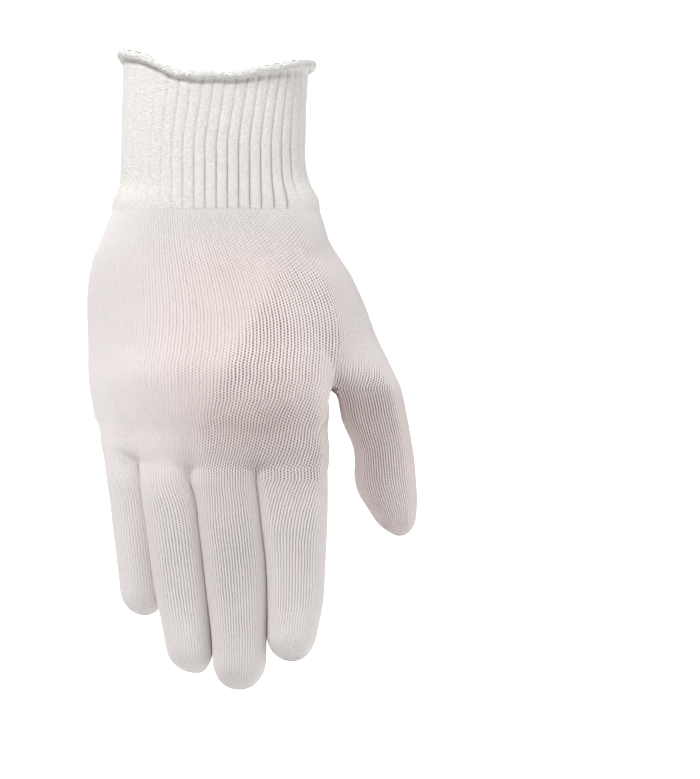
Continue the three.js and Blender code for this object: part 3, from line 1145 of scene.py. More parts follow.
FORMS = (
    Form(-30.0, -120.0, 9.0, 8.0, 0.7),
    Form(-12.0, -117.0, 9.0, 8.0, 0.7),
    Form(10.0, -115.0, 10.0, 9.0, 0.9),
    Form(30.0, -121.0, 10.0, 9.0, 0.8),
    Form(0.0, -140.0, 4.0, 10.0, -0.6),
    Form(22.0, -141.0, 4.0, 10.0, -0.6),
    Form(31.0, -176.0, 10.0, 8.0, 0.6),
    Form(6.0, -182.0, 9.0, 9.0, 0.5),
    Form(-18.0, -180.0, 8.0, 8.0, 0.5),
)


@dataclass
class MeshParts:
    """The points and faces of one piece while it is gathered."""

    points: list = field(default_factory=list)
    count: int = 0
    faces: list = field(default_factory=list)
    places: list = field(default_factory=list)
    smooth: list = field(default_factory=list)

    def add_points(self, points: Array) -> Array:
        """Adds points and gives their numbers."""
        flat = np.asarray(points, float).reshape(-1, 3)
        numbers = np.arange(self.count, self.count + len(flat))
        self.points.append(flat)
        self.count += len(flat)
        return numbers.reshape(np.asarray(points).shape[:-1])

    def add_faces(self, corners: Array, places: Array, smooth: bool = True) -> None:
        """Adds faces of one size.

        Args:
            corners: The corners' numbers, faces by corners.
            places: The wale and course of each corner.
            smooth: Whether they shade smoothly with their neighbours.
        """
        self.faces.append(np.asarray(corners, int))
        self.places.append(np.asarray(places, float))
        self.smooth.append(np.full(len(corners), smooth))

    def add_grid(self, numbers: Array, wales: Array, courses: Array, closed: bool,
                 flip: bool = False) -> None:
        """Adds the quads between rows of points.

        Args:
            numbers: The points' numbers, rows by columns.
            wales: The wale of each column, with one more where the grid closes.
            courses: The course of each row.
            closed: Whether the last column joins the first.
            flip: Whether the faces look the other way.
        """
        grid = np.hstack([numbers, numbers[:, :1]]) if closed else numbers
        a, b, c, d = grid[:-1, :-1], grid[1:, :-1], grid[1:, 1:], grid[:-1, 1:]
        u, v = np.meshgrid(wales, courses)
        uv = np.stack([u, v], axis=-1)
        corners = [a, b, c, d]
        places = [uv[:-1, :-1], uv[1:, :-1], uv[1:, 1:], uv[:-1, 1:]]
        if flip:
            corners, places = corners[::-1], places[::-1]
        self.add_faces(np.stack(corners, -1).reshape(-1, 4), np.stack(places, -2).reshape(-1, 4, 2))

    def make(self, name: str) -> bpy.types.Object:
        """Makes the mesh and its object, in metres.

        Args:
            name: The piece's name.

        Returns:
            The object.
        """
        points = np.vstack(self.points) * MM
        mesh = bpy.data.meshes.new(name)
        corners = np.concatenate([f.reshape(-1) for f in self.faces])
        sizes = np.concatenate([np.full(len(f), f.shape[1]) for f in self.faces])
        starts = np.concatenate([[0], np.cumsum(sizes)[:-1]])
        mesh.vertices.add(len(points))
        mesh.vertices.foreach_set("co", points.astype(np.float32).ravel())
        mesh.loops.add(len(corners))
        mesh.loops.foreach_set("vertex_index", corners.astype(np.int32))
        mesh.polygons.add(len(sizes))
        mesh.polygons.foreach_set("loop_start", starts.astype(np.int32))
        mesh.polygons.foreach_set("use_smooth", np.concatenate(self.smooth))
        layer = mesh.uv_layers.new(name="stitches")
        places = np.concatenate([p.reshape(-1, 2) for p in self.places])
        layer.data.foreach_set("uv", places.astype(np.float32).ravel())
        mesh.update(calc_edges=True)
        mesh.validate()
        thing = bpy.data.objects.new(name, mesh)
        bpy.context.scene.collection.objects.link(thing)
        return thing


def store(thing: bpy.types.Object, name: str, values: Array) -> None:
    """Keeps a number at every point of a piece, for its finish to read."""
    layer = thing.data.attributes.new(name, "FLOAT", "POINT")
    layer.data.foreach_set("value", np.asarray(values, np.float32).ravel())


@dataclass
class KnitPiece:
    """One piece of plain knit made of one or more tubes that grow out of each other."""

    name: str
    node: str
    tubes: Sequence[str]
    knitting: Knitting
    relief: float = 0.13
    column_step: int = 6
    row_step: int = 8
    tip_gap: float = 1.2

    @property
    def is_hand(self) -> bool:
        """Whether the piece is the hand, which is open at both ends."""
        return self.tubes[0] == "upper"

    def shaded(self, name: str) -> Array:
        """The shading directions of a tube, with those at its ends shared with the tubes that it joins.

        Args:
            name: The tube's name.

        Returns:
            The directions, rows by columns by x, y and z.
        """
        laid = self.knitting
        own = outward(self.lifted(laid.tubes[name]))
        for child, links in laid.links.items():
            position = 0
            for source, columns in links:
                span = slice(position, position + len(columns))
                position += len(columns)
                if source not in laid.tubes or name not in (child, source):
                    continue
                if name == child:
                    own[0, span] += outward(self.lifted(laid.tubes[source]))[-1, columns]
                else:
                    own[-1, columns] += outward(self.lifted(laid.tubes[child]))[0, span]
        return unit(own)

    def lifted(self, tube: Tube) -> Array:
        """The tube's points with the fabric's forms and its stitches raised.

        Args:
            tube: The tube.

        Returns:
            The points, rows by columns by x, y and z.
        """
        points, normals = tube.points, tube.normals
        wales = tube.wales(np.arange(tube.columns))
        courses = tube.courses(np.arange(len(points)))
        ridge = np.sin(np.pi * wales) ** 2
        loop = 0.7 + 0.3 * np.cos(TURN * courses)
        lift = self.relief * (ridge[None, :] * loop[:, None] - 0.5)
        for form in FORMS:
            lift = lift + form.lift(points, normals)
        return points + normals * lift[..., None]

    def kept(self) -> dict[str, Array]:
        """Chooses the columns that the coarser inner side keeps, so that every fork's corners are among them.

        Returns:
            The kept columns of each tube.
        """
        laid = self.knitting
        must: dict[str, set[int]] = {name: set() for name in self.tubes}
        for child, links in laid.links.items():
            for source, columns in links:
                if source in must and len(columns):
                    must[source] |= {int(columns[0]), int(columns[-1])}
        for child in reversed(self.tubes):
            position = 0
            for source, columns in laid.links.get(child, []):
                if source in must:
                    inside = [c - position for c in must[child] if position <= c < position + len(columns)]
                    must[source] |= {int(columns[c]) for c in inside}
                position += len(columns)
        kept = {}
        for name in self.tubes:
            links = laid.links.get(name, [])
            if not links or links[0][0] not in kept:
                chosen = set(range(0, laid.tubes[name].columns, self.column_step)) | must[name]
            else:
                chosen, position = set(must[name]), 0
                for source, columns in links:
                    if source in kept:
                        parents = set(int(c) for c in kept[source])
                        chosen |= {position + i for i, c in enumerate(columns) if int(c) in parents}
                    else:
                        chosen |= set(range(position, position + len(columns), self.column_step))
                    position += len(columns)
            kept[name] = np.array(sorted(chosen))
        return kept

    def build(self) -> bpy.types.Object:
        """Builds the piece as a closed shell: its stitched outside, a coarser inside and the rims between.

        Returns:
            The object.
        """
        laid = self.knitting
        parts = MeshParts()
        numbers: dict[str, Array] = {}
        webs: dict[str, Array] = {}
        base: list[Array] = []
        out: list[Array] = []
        shades: list[Array] = []
        loops: list[list[int]] = []

        def note(points: Array, normals: Array, shading: Array) -> None:
            """Notes where added points lie before they are raised, and which way they face and shade."""
            base.append(points.reshape(-1, 3))
            out.append(normals.reshape(-1, 3))
            shades.append(shading.reshape(-1, 3))

        for name in self.tubes:
            tube = laid.tubes[name]
            links = laid.links.get(name, [])
            skip = 1 if links and links[0][0] in numbers else 0
            grid = parts.add_points(self.lifted(tube)[skip:])
            note(tube.points[skip:], tube.normals[skip:], self.shaded(name)[skip:])
            if skip:
                first = []
                for source, columns in links:
                    if source in numbers:
                        first.append(numbers[source][-1][columns])
                        continue
                    if source not in webs:
                        line = laid.webs[source]
                        webs[source] = parts.add_points(line)
                        note(line, np.tile([0.0, 0.0, -1.0], (len(line), 1)), np.zeros_like(line))
                    first.append(webs[source][columns])
                grid = np.vstack([np.concatenate(first)[None, :], grid])
            else:
                loops.append([int(n) for n in grid[0][::-1]])
            numbers[name] = grid
            wales = tube.wales(np.arange(tube.columns + 1))
            parts.add_grid(grid, wales, tube.courses(np.arange(len(grid))), True)
        normals = np.vstack(out)
        inner, closing = self.add_inside(parts, numbers, np.vstack(base) - normals * WALL)
        loops += self.lower_loops(numbers, webs)
        for loop in loops:
            self.rim(parts, loop, inner)
        if not self.is_hand:
            self.close_tip(parts, numbers[self.tubes[-1]][-1], False)
            self.close_tip(parts, closing, True)
        thing = parts.make(self.name)
        facing = np.tile([0.0, 1.0, 0.0], (parts.count, 1))
        facing[: len(normals)] = normals
        self.mark(thing, np.vstack(parts.points), facing)
        shown = np.zeros((parts.count, 3))
        shown[: len(normals)] = np.vstack(shades)
        thing.data.normals_split_custom_set_from_vertices(shown.tolist())
        return thing

    def add_inside(self, parts: MeshParts, numbers: dict[str, Array],
                   spots: Array) -> tuple[dict[int, int], Array]:
        """Adds the coarser inner side.

        Args:
            parts: The piece.
            numbers: Each tube's points' numbers.
            spots: Where the inner point of each outer point lies.

        Returns:
            The inner point of each kept outer point, and the last row of inner points.
        """
        kept = self.kept()
        inner: dict[int, int] = {}
        closing = np.zeros(0, int)
        for name in self.tubes:
            tube, grid = self.knitting.tubes[name], numbers[name]
            levels = tube.points[:, 0, 2]
            last = len(grid) - 1
            if not self.is_hand:
                last = int(np.flatnonzero(levels > levels[-1] + self.tip_gap)[-1])
            rows = np.unique(np.append(np.arange(0, last, self.row_step), last))
            chosen = grid[np.ix_(rows, kept[name])]
            for number in chosen.ravel():
                if int(number) not in inner:
                    inner[int(number)] = int(parts.add_points(spots[number][None, :])[0])
            inside = np.vectorize(inner.__getitem__)(chosen)
            wales = tube.wales(np.append(kept[name], tube.columns))
            parts.add_grid(inside, wales, tube.courses(rows), True, flip=True)
            closing = inside[-1]
        return inner, closing

    def lower_loops(self, numbers: dict[str, Array], webs: dict[str, Array]) -> list[list[int]]:
        """The open loops where other pieces grow out of this one.

        Args:
            numbers: Each tube's points' numbers.
            webs: Each web's points' numbers.

        Returns:
            The loops, as the outer points' numbers.
        """
        loops = []
        for child, links in self.knitting.links.items():
            grows = links[0][0] in numbers and child not in numbers
            if not grows or any(source not in numbers and source not in webs for source, _ in links):
                continue
            loop = []
            for source, columns in links:
                line = numbers[source][-1] if source in numbers else webs[source]
                loop += [int(n) for n in line[columns]]
            loops.append(loop)
        if "roots" in numbers:
            loops.append([int(n) for n in numbers["roots"][-1]])
        return loops

    @staticmethod
    def rim(parts: MeshParts, loop: list[int], inner: dict[int, int]) -> None:
        """Closes the rim between the outside and the inside along a loop.

        Args:
            parts: The piece.
            loop: The outer points' numbers.
            inner: The inner point of each kept outer point.
        """
        start = next(i for i, number in enumerate(loop) if number in inner)
        around = loop[start:] + loop[:start] + [loop[start]]
        faces = []
        held = around[0]
        for first, second in zip(around, around[1:]):
            faces.append((first, inner[held], second))
            if second in inner:
                faces.append((second, inner[held], inner[second]))
                held = second
        parts.add_faces(np.array(faces), np.zeros((len(faces), 3, 2)), smooth=False)

    @staticmethod
    def close_tip(parts: MeshParts, ring: Array, flip: bool) -> None:
        """Draws a stall's tip together along a line from its left side to its right.

        Args:
            parts: The piece.
            ring: The last row's points' numbers.
            flip: Whether the faces look inwards.
        """
        count = len(ring)
        left = int(np.vstack(parts.points)[ring][:, 0].argmin())
        faces = []
        for i in range(count // 2):
            around = (left + i, left - i, left - i - 1, left + i + 1)
            corners = list(dict.fromkeys(int(ring[n % count]) for n in around))
            faces.append(corners[::-1] if flip else corners)
        for size in (3, 4):
            chosen = np.array([face for face in faces if len(face) == size])
            if len(chosen):
                parts.add_faces(chosen, np.zeros((len(chosen), size, 2)))

    @staticmethod
    def mark(thing: bpy.types.Object, points: Array, facing: Array) -> None:
        """Stores how open, how rosy and how striped the knit is at each point, and how much shade is painted
        on it.

        Args:
            thing: The piece.
            points: Its points, in millimetres.
            facing: Their outward directions.
        """
        store(thing, "openness", openness(points, facing))
        store(thing, "rosy", rosiness(points))
        # Painted shade: darker over the thumb, below the knuckles and along the fingers.
        store(thing, "painted_shade", painted_shade_share(points, facing))
        z = points[:, 2]
        store(thing, "striped", smoothstep(z, -135.0, -110.0) * smoothstep(-z, 54.0, 66.0))


def openness(points: Array, facing: Array) -> Array:
    """How far the knit is stretched open, so that the dark between its wales shows; on the thumb it is set
    higher also as painted shade.

    Args:
        points: The points.
        facing: Their outward directions.

    Returns:
        A share from 0, closed, to 1, open.
    """
    x, _, z = points.T
    start = mix(22.0, -6.0, smoothstep(-z, 70.0, 145.0))
    strong = smoothstep(x, start - 9, start + 9) * mix(0.5, 1.0, smoothstep(-z, 62.0, 105.0))
    weak = 0.38 * smoothstep(x, -41.0, -12.0) * (1 - 0.7 * smoothstep(-z, 118.0, 136.0))
    hand = np.maximum(strong, weak)
    edge = np.interp(-z, [58.0, 72.0, 91.0, 107.0, 119.0], [33.0, 41.0, 48.0, 50.0, 46.0])
    hand = hand * (1 - smoothstep(x, edge - 5, edge + 4) * (1 - smoothstep(-z, 115.0, 126.0)))
    digits = mix(0.42, 0.66, smoothstep(x, -30.0, -16.0))
    digits = digits + 0.25 * smoothstep(x, 12.0, 24.0) * (1 - smoothstep(-z, 170.0, 195.0))
    tip = np.interp(x, [-34.0, -25.0, -12.0, 0.0, 10.0, 20.0, 30.0],
                    [-212.0, -225.0, -236.0, -242.0, -244.0, -238.0, -232.0])
    digits = digits * mix(0.45, 1.0, smoothstep(z - tip, 6.0, 30.0))
    digits = digits * (1 - 0.8 * smoothstep(np.abs(facing[:, 0]), 0.3, 0.75))
    value = mix(hand, digits, smoothstep(-z, 150.0, 170.0))
    # The thumb's high openness is partly real and partly painted shade that darkens the whole thumb.
    thumb = 0.95 - 0.3 * smoothstep(-z, 140.0, 168.0)
    value = mix(value, thumb, smoothstep(x, 43.0, 50.0) * smoothstep(-z, 106.0, 134.0))
    value = value * (1 - smoothstep(np.abs(facing[:, 0]), 0.5, 0.9))
    return mix(value, 0.4, smoothstep(facing[:, 1], -0.3, 0.1))


def painted_shade_share(points: Array, facing: Array) -> Array:
    """How much shade is painted on the knit's back: most over the thumb and near its base, then below the
    knuckles and along the fingers, less where it faces right and none on the palm side.

    Args:
        points: The points.
        facing: Their outward directions.

    Returns:
        A share from 0, no painted shade, upwards.
    """
    x, _, z = points.T
    below = (smoothstep(x, -22.0, 6.0) + 0.6 * smoothstep(x, 8.0, 26.0)) * smoothstep(-z, 124.0, 142.0)
    fingers = 0.55 * (1 - smoothstep(-z, 190.0, 225.0)) + 0.3
    fingers = fingers * mix(0.2, 1.0, smoothstep(x, -36.0, -22.0))
    fingers = fingers + 0.45 * np.exp(-(((x - 8.0) / 11.0) ** 2))
    value = 0.75 * mix(below, fingers, smoothstep(-z, 152.0, 176.0))
    thumb = 1.8 - 0.4 * smoothstep(-z, 150.0, 180.0) - 0.9 * smoothstep(x, 62.0, 76.0)
    value = value + 0.45 * smoothstep(x, 38.0, 50.0) * smoothstep(-z, 70.0, 95.0)
    value = mix(value, thumb, smoothstep(x, 42.0, 50.0) * smoothstep(-z, 118.0, 132.0))
    value = value * (1 - 0.6 * smoothstep(facing[:, 0], 0.4, 0.9))
    return value * (1 - smoothstep(facing[:, 1], -0.3, 0.1))


def rosiness(points: Array) -> Array:
    """How much the fabric leans to a warm rose, in soft patches on the hand's middle and the thumb.

    Args:
        points: The points.

    Returns:
        A share from 0, neutral, to 1, rosy.
    """
    x, _, z = points.T
    middle = np.exp(-(((x - 8.0) / 34.0) ** 2) - ((z + 92.0) / 38.0) ** 2)
    knuckles = 0.9 * np.exp(-(((x - 12.0) / 34.0) ** 2) - ((z + 134.0) / 24.0) ** 2)
    thumb = 0.6 * smoothstep(x, 40.0, 52.0) * smoothstep(-z, 120.0, 135.0)
    return np.clip((0.25 + 0.75 * (middle + knuckles + thumb)) * smoothstep(-z, 50.0, 82.0), 0.0, 1.0)


@dataclass
class Cuff:
    """The elastic cuff in mock rib: wide raised ribs of five wales with dotted lines between them."""

    ribs: int = 43
    wales_per_rib: int = 5
    course: float = 0.92
    rib_height: float = 0.62
    top: float = -1.2
    rays: int = 1440
    girth_level: float = -36.0
    rim_lean: float = 3.2
    foot_drop: float = 0.26
    inner_row_step: int = 4
    inner_column_step: int = 5

    def section(self, level: Array | float) -> dict[str, Array]:
        """The cuff's section sizes at a level.

        Args:
            level: The level, before the rim's wave.

        Returns:
            The middle, half breadth and depths.
        """
        drop = -np.asarray(level, float) / CUFF_LENGTH
        left = CUFF_SECTIONS.at("left", drop) * CUFF_BREADTH
        right = CUFF_SECTIONS.at("right", drop) * CUFF_BREADTH
        foot_left = HAND_SECTIONS.at("left", 0.0) * HAND_BREADTH
        foot_right = HAND_SECTIONS.at("right", 0.0) * HAND_BREADTH
        share = smoothstep(drop, 0.8, 1.0)
        back = HAND_SECTIONS.at("back", 0.0) * HAND_DEPTH
        palm = HAND_SECTIONS.at("palm", 0.0) * HAND_DEPTH
        return {
            "x": mix((left + right) / 2, (foot_left + foot_right) / 2, share),
            "half": mix((right - left) / 2, (foot_right - foot_left) / 2, share),
            "back": mix(CUFF_SECTIONS.at("back", drop) * CUFF_DEPTH, back, share),
            "palm": mix(CUFF_SECTIONS.at("palm", drop) * CUFF_DEPTH, palm, share),
        }

    def outline(self, level: float, grow: float) -> Array:
        """The section's outline at a level, from the left side over the back.

        Args:
            level: The level.
            grow: How far the outline stands outside the section.

        Returns:
            The points.
        """
        size = self.section(level)
        across, deep = rounded(self.rays, HAND_POWER)
        x = size["x"] + (size["half"] + grow) * across
        y = (np.where(deep < 0, size["back"], size["palm"]) + grow) * deep
        return np.stack([x, y, np.full_like(x, level)], axis=-1)

    def ring(self, level: float, columns: int, grow: float = 0.0) -> Array:
        """A ring of points, evenly spaced but for the sides, which take up the cuff's flare at its foot.

        Args:
            level: The ring's level.
            columns: How many points it has.
            grow: How far it stands outside the section.

        Returns:
            The points, from the left side over the back.
        """
        ring = self.outline(level, grow)
        lengths = measure(ring)
        total = lengths[-1]
        back = self.rays // 2
        centre = float(np.interp(0.0, ring[:back, 0], lengths[:back]))
        girth = total
        if level < self.girth_level:
            girth = measure(self.outline(self.girth_level, grow))[-1]
        side = np.mod(np.arange(columns) / columns + 0.25, 1.0) - 0.5
        spare = (total - girth) / 2 * smoothstep(np.abs(side), 0.08, 0.3)
        lean = self.rim_lean * smoothstep(level, -34.0, 0.0) * (1 - smoothstep(np.abs(side), 0.1, 0.24))
        places = side * girth + np.sign(side) * spare + lean
        even = read_ring(ring, lengths / total, (centre + places) / total)
        turn = np.arctan2(even[:, 1], even[:, 0] - self.section(level)["x"])
        fade = 1 - smoothstep(-level / CUFF_LENGTH, 0, 0.75)
        line = RIM_LINE.at("rise", even[:, 0]) * smoothstep(-even[:, 1], -10.0, 3.0)
        even[:, 2] += (rim_height(turn) + line) * fade
        return even

    def build(self) -> bpy.types.Object:
        """Builds the cuff as a closed shell.

        Returns:
            The object.
        """
        columns = self.ribs * self.wales_per_rib * 2
        levels = even_levels(self.top, CUFF_END, self.course / 2)
        points = np.stack([self.ring(level, columns) for level in levels])
        points[-1, :, 2] -= self.foot_drop
        tube = Tube(points, 0.0, 0.0)
        place = np.mod(np.arange(columns) / (2 * self.wales_per_rib), 1.0)
        valley = np.exp(-((np.minimum(place, 1 - place) / 0.18) ** 2))
        crown = np.sin(math.pi * place) ** 0.8
        fade = 1 - smoothstep(-levels / CUFF_LENGTH, 0.86, 1.0)
        wave = 0.5 + 0.5 * np.cos(TURN * (np.arange(len(levels)) * 0.5))
        wale = np.where(np.arange(columns) % 2 == 1, 0.045, -0.03)
        x, y = points[..., 0], points[..., 1]
        seen = 0.08 + 0.92 * smoothstep(x, -29.0, -10.0) * (1 - 0.75 * smoothstep(x, 27.0, 34.0))
        seen = mix(seen, 0.8, smoothstep(y, -4.0, 8.0))
        lift = self.rib_height * fade[:, None] * seen * (0.22 * crown - 0.36 * valley)[None, :]
        lift = lift + wale[None, :] * (0.6 + 0.4 * wave[:, None])
        lift = lift - 0.7 * smoothstep(levels, -4.6, -2.4)[:, None]
        parts = MeshParts()
        raised = points + tube.normals * lift[..., None]
        outer = parts.add_points(raised)
        parts.add_grid(outer, np.arange(columns + 1) * 0.5, np.arange(len(levels)) * 0.5, True)
        rows = np.unique(np.append(np.arange(0, len(levels), self.inner_row_step), len(levels) - 1))
        keep = np.arange(0, columns, self.inner_column_step)
        inside_lift = np.where(np.arange(columns) % 10 == 0, 0.25, 0.0)[None, :, None]
        inside = points - tube.normals * (CUFF_WALL - 0.3 + inside_lift)
        inner = parts.add_points(inside[np.ix_(rows, keep)])
        parts.add_grid(inner, np.append(keep, columns) * 0.5, rows * 0.5, True, flip=True)
        linked = {}
        for row, line in ((0, inner[0]), (len(levels) - 1, inner[-1])):
            linked.update({int(outer[row][c]): int(n) for c, n in zip(keep, line)})
        KnitPiece.rim(parts, [int(n) for n in outer[0][::-1]], linked)
        KnitPiece.rim(parts, [int(n) for n in outer[-1]], linked)
        thing = parts.make("cuff_rib_knit")
        every = np.vstack(parts.points)
        shown = np.zeros((len(every), 3))
        shown[: raised.size // 3] = outward(raised).reshape(-1, 3)
        thing.data.normals_split_custom_set_from_vertices(shown.tolist())
        x, y, z = every.T
        opened = mix(0.02, 1.0, smoothstep(x, -27.0, 12.0)) * (1 - smoothstep(x, 28.0, 33.0))
        opened = opened * mix(0.25, 1.0, smoothstep(-z, 12.0, 46.0))
        store(thing, "openness", mix(opened, 0.5, smoothstep(y, -4.0, 8.0)))
        return thing


RIM_LINE = Table(
    "x rise",
    [
        [-38.0, 2.2], [-34.0, 2.0], [-25.0, 0.9], [-16.0, -1.7], [-6.0, -0.7],
        [0.0, 0.3], [8.0, 0.0], [19.0, 0.0], [29.0, 0.4], [38.0, 0.8],
    ],
)


def rim_height(turn: Array) -> Array:
    """The height of the rim in each direction round the opening."""
    return RIM_WAVE * np.cos(2 * turn) - RIM_TILT * np.cos(turn) - RIM_DROP


@dataclass
class RolledEdge:
    """The rolled edge round the opening, closely overlocked so that its surface is grainy."""

    radius: float = 1.85
    wraps: int = 236
    steps: int = 944
    sides: int = 16
    inset: float = 0.1
    grain: float = 0.05
    waver: float = 0.12

    def build(self, cuff: Cuff) -> bpy.types.Object:
        """Builds the roll.

        Args:
            cuff: The cuff whose rim it follows.

        Returns:
            The object.
        """
        path = cuff.ring(0.0, self.steps, -self.inset)
        middle = cuff.section(0.0)["x"]
        turn = np.arctan2(path[:, 1], path[:, 0] - middle)
        outwards = np.stack([np.cos(turn), np.sin(turn), 0 * turn], axis=-1)
        around = np.linspace(0, TURN, self.sides, endpoint=False)
        along = np.arange(self.steps)
        phase = TURN * self.wraps * along[:, None] / self.steps - around[None, :] * 2
        slow = np.sin(along[:, None] * 0.11) * np.cos(along[:, None] * 0.037 + around[None, :])
        radius = self.radius * 0.97 + self.grain * np.cos(phase) + self.waver * slow
        rings = path[:, None, :] + outwards[:, None, :] * (radius * np.cos(around)[None, :])[..., None]
        rings[..., 2] += radius * np.sin(around)[None, :]
        parts = MeshParts()
        numbers = parts.add_points(rings)
        grid = np.vstack([numbers, numbers[:1]])
        u = np.arange(self.sides + 1) / self.sides
        v = np.arange(self.steps + 1) * self.wraps / self.steps
        parts.add_grid(grid, u, v, True, flip=True)
        thing = parts.make("cuff_edge_overlock")
        x, y = rings[..., 0], rings[..., 1]
        sewn = smoothstep(x, 14.0, 20.0) + (1 - smoothstep(x, -27.0, -23.0))
        store(thing, "thread", sewn * smoothstep(-y, 0.0, 5.0))
        return thing


class Op(Enum):
    """What a Math node does."""

    ADD = "ADD"
    SUBTRACT = "SUBTRACT"
    MULTIPLY = "MULTIPLY"
    DIVIDE = "DIVIDE"
    POWER = "POWER"
    COSINE = "COSINE"
    ABSOLUTE = "ABSOLUTE"
    FRACT = "FRACT"
    FLOOR = "FLOOR"
    MINIMUM = "MINIMUM"
    MAXIMUM = "MAXIMUM"
    GREATER_THAN = "GREATER_THAN"


class Wire:
    """An output socket, so that shader maths reads as an expression."""

    def __init__(self, graph: "Graph", socket: bpy.types.NodeSocket) -> None:
        """Keeps the socket and the node tree that it belongs to."""
        self.graph = graph
        self.socket = socket

    def __add__(self, other: "Wire | float") -> "Wire":
        """Adds."""
        return self.graph.math(Op.ADD, self, other)

    __radd__ = __add__

    def __sub__(self, other: "Wire | float") -> "Wire":
        """Takes away."""
        return self.graph.math(Op.SUBTRACT, self, other)

    def __rsub__(self, other: "Wire | float") -> "Wire":
        """Is taken away from a number."""
        return self.graph.math(Op.SUBTRACT, other, self)

    def __mul__(self, other: "Wire | float") -> "Wire":
        """Multiplies."""
        return self.graph.math(Op.MULTIPLY, self, other)

    __rmul__ = __mul__

    def __truediv__(self, other: "Wire | float") -> "Wire":
        """Divides."""
        return self.graph.math(Op.DIVIDE, self, other)

    def __pow__(self, other: float) -> "Wire":
        """Raises to a power."""
        return self.graph.math(Op.POWER, self, other)


class Graph:
    """A material's node tree."""

    def __init__(self, name: str) -> None:
        """Starts a material with a Principled shader.

        Args:
            name: The material's name.
        """
        self.material = bpy.data.materials.new(name)
        self.material.use_nodes = True
        self.tree = self.material.node_tree
        self.tree.nodes.clear()
        self.shader = self.tree.nodes.new("ShaderNodeBsdfPrincipled")
        output = self.tree.nodes.new("ShaderNodeOutputMaterial")
        self.tree.links.new(self.shader.outputs[0], output.inputs[0])

    def node(self, kind: str, settings: dict | None = None, sockets: dict | None = None,
             out: str | int = 0) -> Wire:
        """Adds a node.

        Args:
            kind: The node's type.
            settings: What is set on the node first.
            sockets: The values or links of its sockets.
            out: The output that is wanted.

        Returns:
            That output.
        """
        node = self.tree.nodes.new(kind)
        for key, value in (settings or {}).items():
            setattr(node, key, value)
        for key, value in (sockets or {}).items():
            self.feed(node.inputs[key], value)
        return Wire(self, node.outputs[out])

    def feed(self, socket: bpy.types.NodeSocket, value: "Wire | float | tuple") -> None:
        """Links a wire to a socket, or sets its value."""
        if isinstance(value, Wire):
            self.tree.links.new(value.socket, socket)
        else:
            socket.default_value = value

    def math(self, operation: Op, first: "Wire | float", second: "Wire | float" = 0.0,
             clamp: bool = False) -> Wire:
        """Adds a Math node."""
        settings = {"operation": operation.value, "use_clamp": clamp}
        return self.node("ShaderNodeMath", settings, {0: first, 1: second})

    def wave(self, place: Wire, period: float = 1.0) -> Wire:
        """Swings between 1, at the start of each period, and 0."""
        return 0.5 + 0.5 * self.math(Op.COSINE, place * (TURN / period))

    def blend(self, share: "Wire | float", first: "Wire | tuple", second: "Wire | tuple",
              kind: str = "MIX") -> Wire:
        """Mixes two colours by a share."""
        settings = {"data_type": "RGBA", "blend_type": kind, "clamp_factor": True}
        return self.node("ShaderNodeMix", settings, {0: share, 6: first, 7: second}, out=2)

    def attribute(self, name: str) -> Wire:
        """Reads a number that the mesh stores."""
        return self.node("ShaderNodeAttribute", {"attribute_name": name}, out="Fac")

    def stitches(self) -> tuple[Wire, Wire]:
        """The wale and course numbers at a point."""
        return self.split(self.node("ShaderNodeUVMap", {"uv_map": "stitches"}))

    def split(self, place: Wire) -> tuple[Wire, Wire]:
        """The first two numbers of a place."""
        first = self.node("ShaderNodeSeparateXYZ", None, {0: place})
        return first, Wire(self, first.socket.node.outputs[1])

    def noise(self, scale: float, detail: float = 2.0, roughness: float = 0.5) -> Wire:
        """Cloudy noise in the object's own space.

        Args:
            scale: How many lumps it has to a metre.
            detail: How many finer layers it has.
            roughness: How strong they are.

        Returns:
            The noise, around 0.5.
        """
        place = self.node("ShaderNodeTexCoord", out="Object")
        sockets = {"Vector": place, "Scale": scale, "Detail": detail, "Roughness": roughness}
        return self.node("ShaderNodeTexNoise", {"noise_dimensions": "3D"}, sockets)

    def bump(self, height: Wire, distance: float, strength: float = 1.0) -> None:
        """Bumps the surface by a height."""
        sockets = {"Height": height, "Distance": distance, "Strength": strength}
        self.feed(self.shader.inputs["Normal"], self.node("ShaderNodeBump", None, sockets))

    def fleck(self, base: Wire, fibre: Wire, gain: float, level: float, shade: tuple) -> Wire:
        """Darkens a colour where the fibres' noise stands above a level.

        Args:
            base: The colour.
            fibre: The noise.
            gain: What the noise is multiplied by.
            level: What is then taken away.
            shade: The darker colour.

        Returns:
            The flecked colour.
        """
        return self.blend(self.math(Op.MAXIMUM, fibre * gain - level, 0.0), base, shade)

    def matt(self, colour: Wire, roughness: float, specular: float, sheen: float) -> None:
        """Sets a matt and fuzzy surface.

        Args:
            colour: Its colour.
            roughness: How rough it is.
            specular: How much it shines.
            sheen: How much its fuzz catches the light.
        """
        self.set(base_color=colour, roughness=roughness)
        self.feed(self.shader.inputs["Specular IOR Level"], specular)
        self.feed(self.shader.inputs["Sheen Weight"], sheen)

    def set(self, **values: "Wire | float | tuple") -> None:
        """Feeds the shader's sockets, named with underscores for spaces."""
        for key, value in values.items():
            self.feed(self.shader.inputs[key.replace("_", " ").title()], value)


def linear(red: float, green: float, blue: float) -> tuple[float, float, float, float]:
    """A colour given as it looks on a screen, from 0 to 255, for a shader."""
    parts = [c / 255 for c in (red, green, blue)]
    fixed = [c / 12.92 if c <= 0.04045 else ((c + 0.055) / 1.055) ** 2.4 for c in parts]
    return (fixed[0], fixed[1], fixed[2], 1.0)


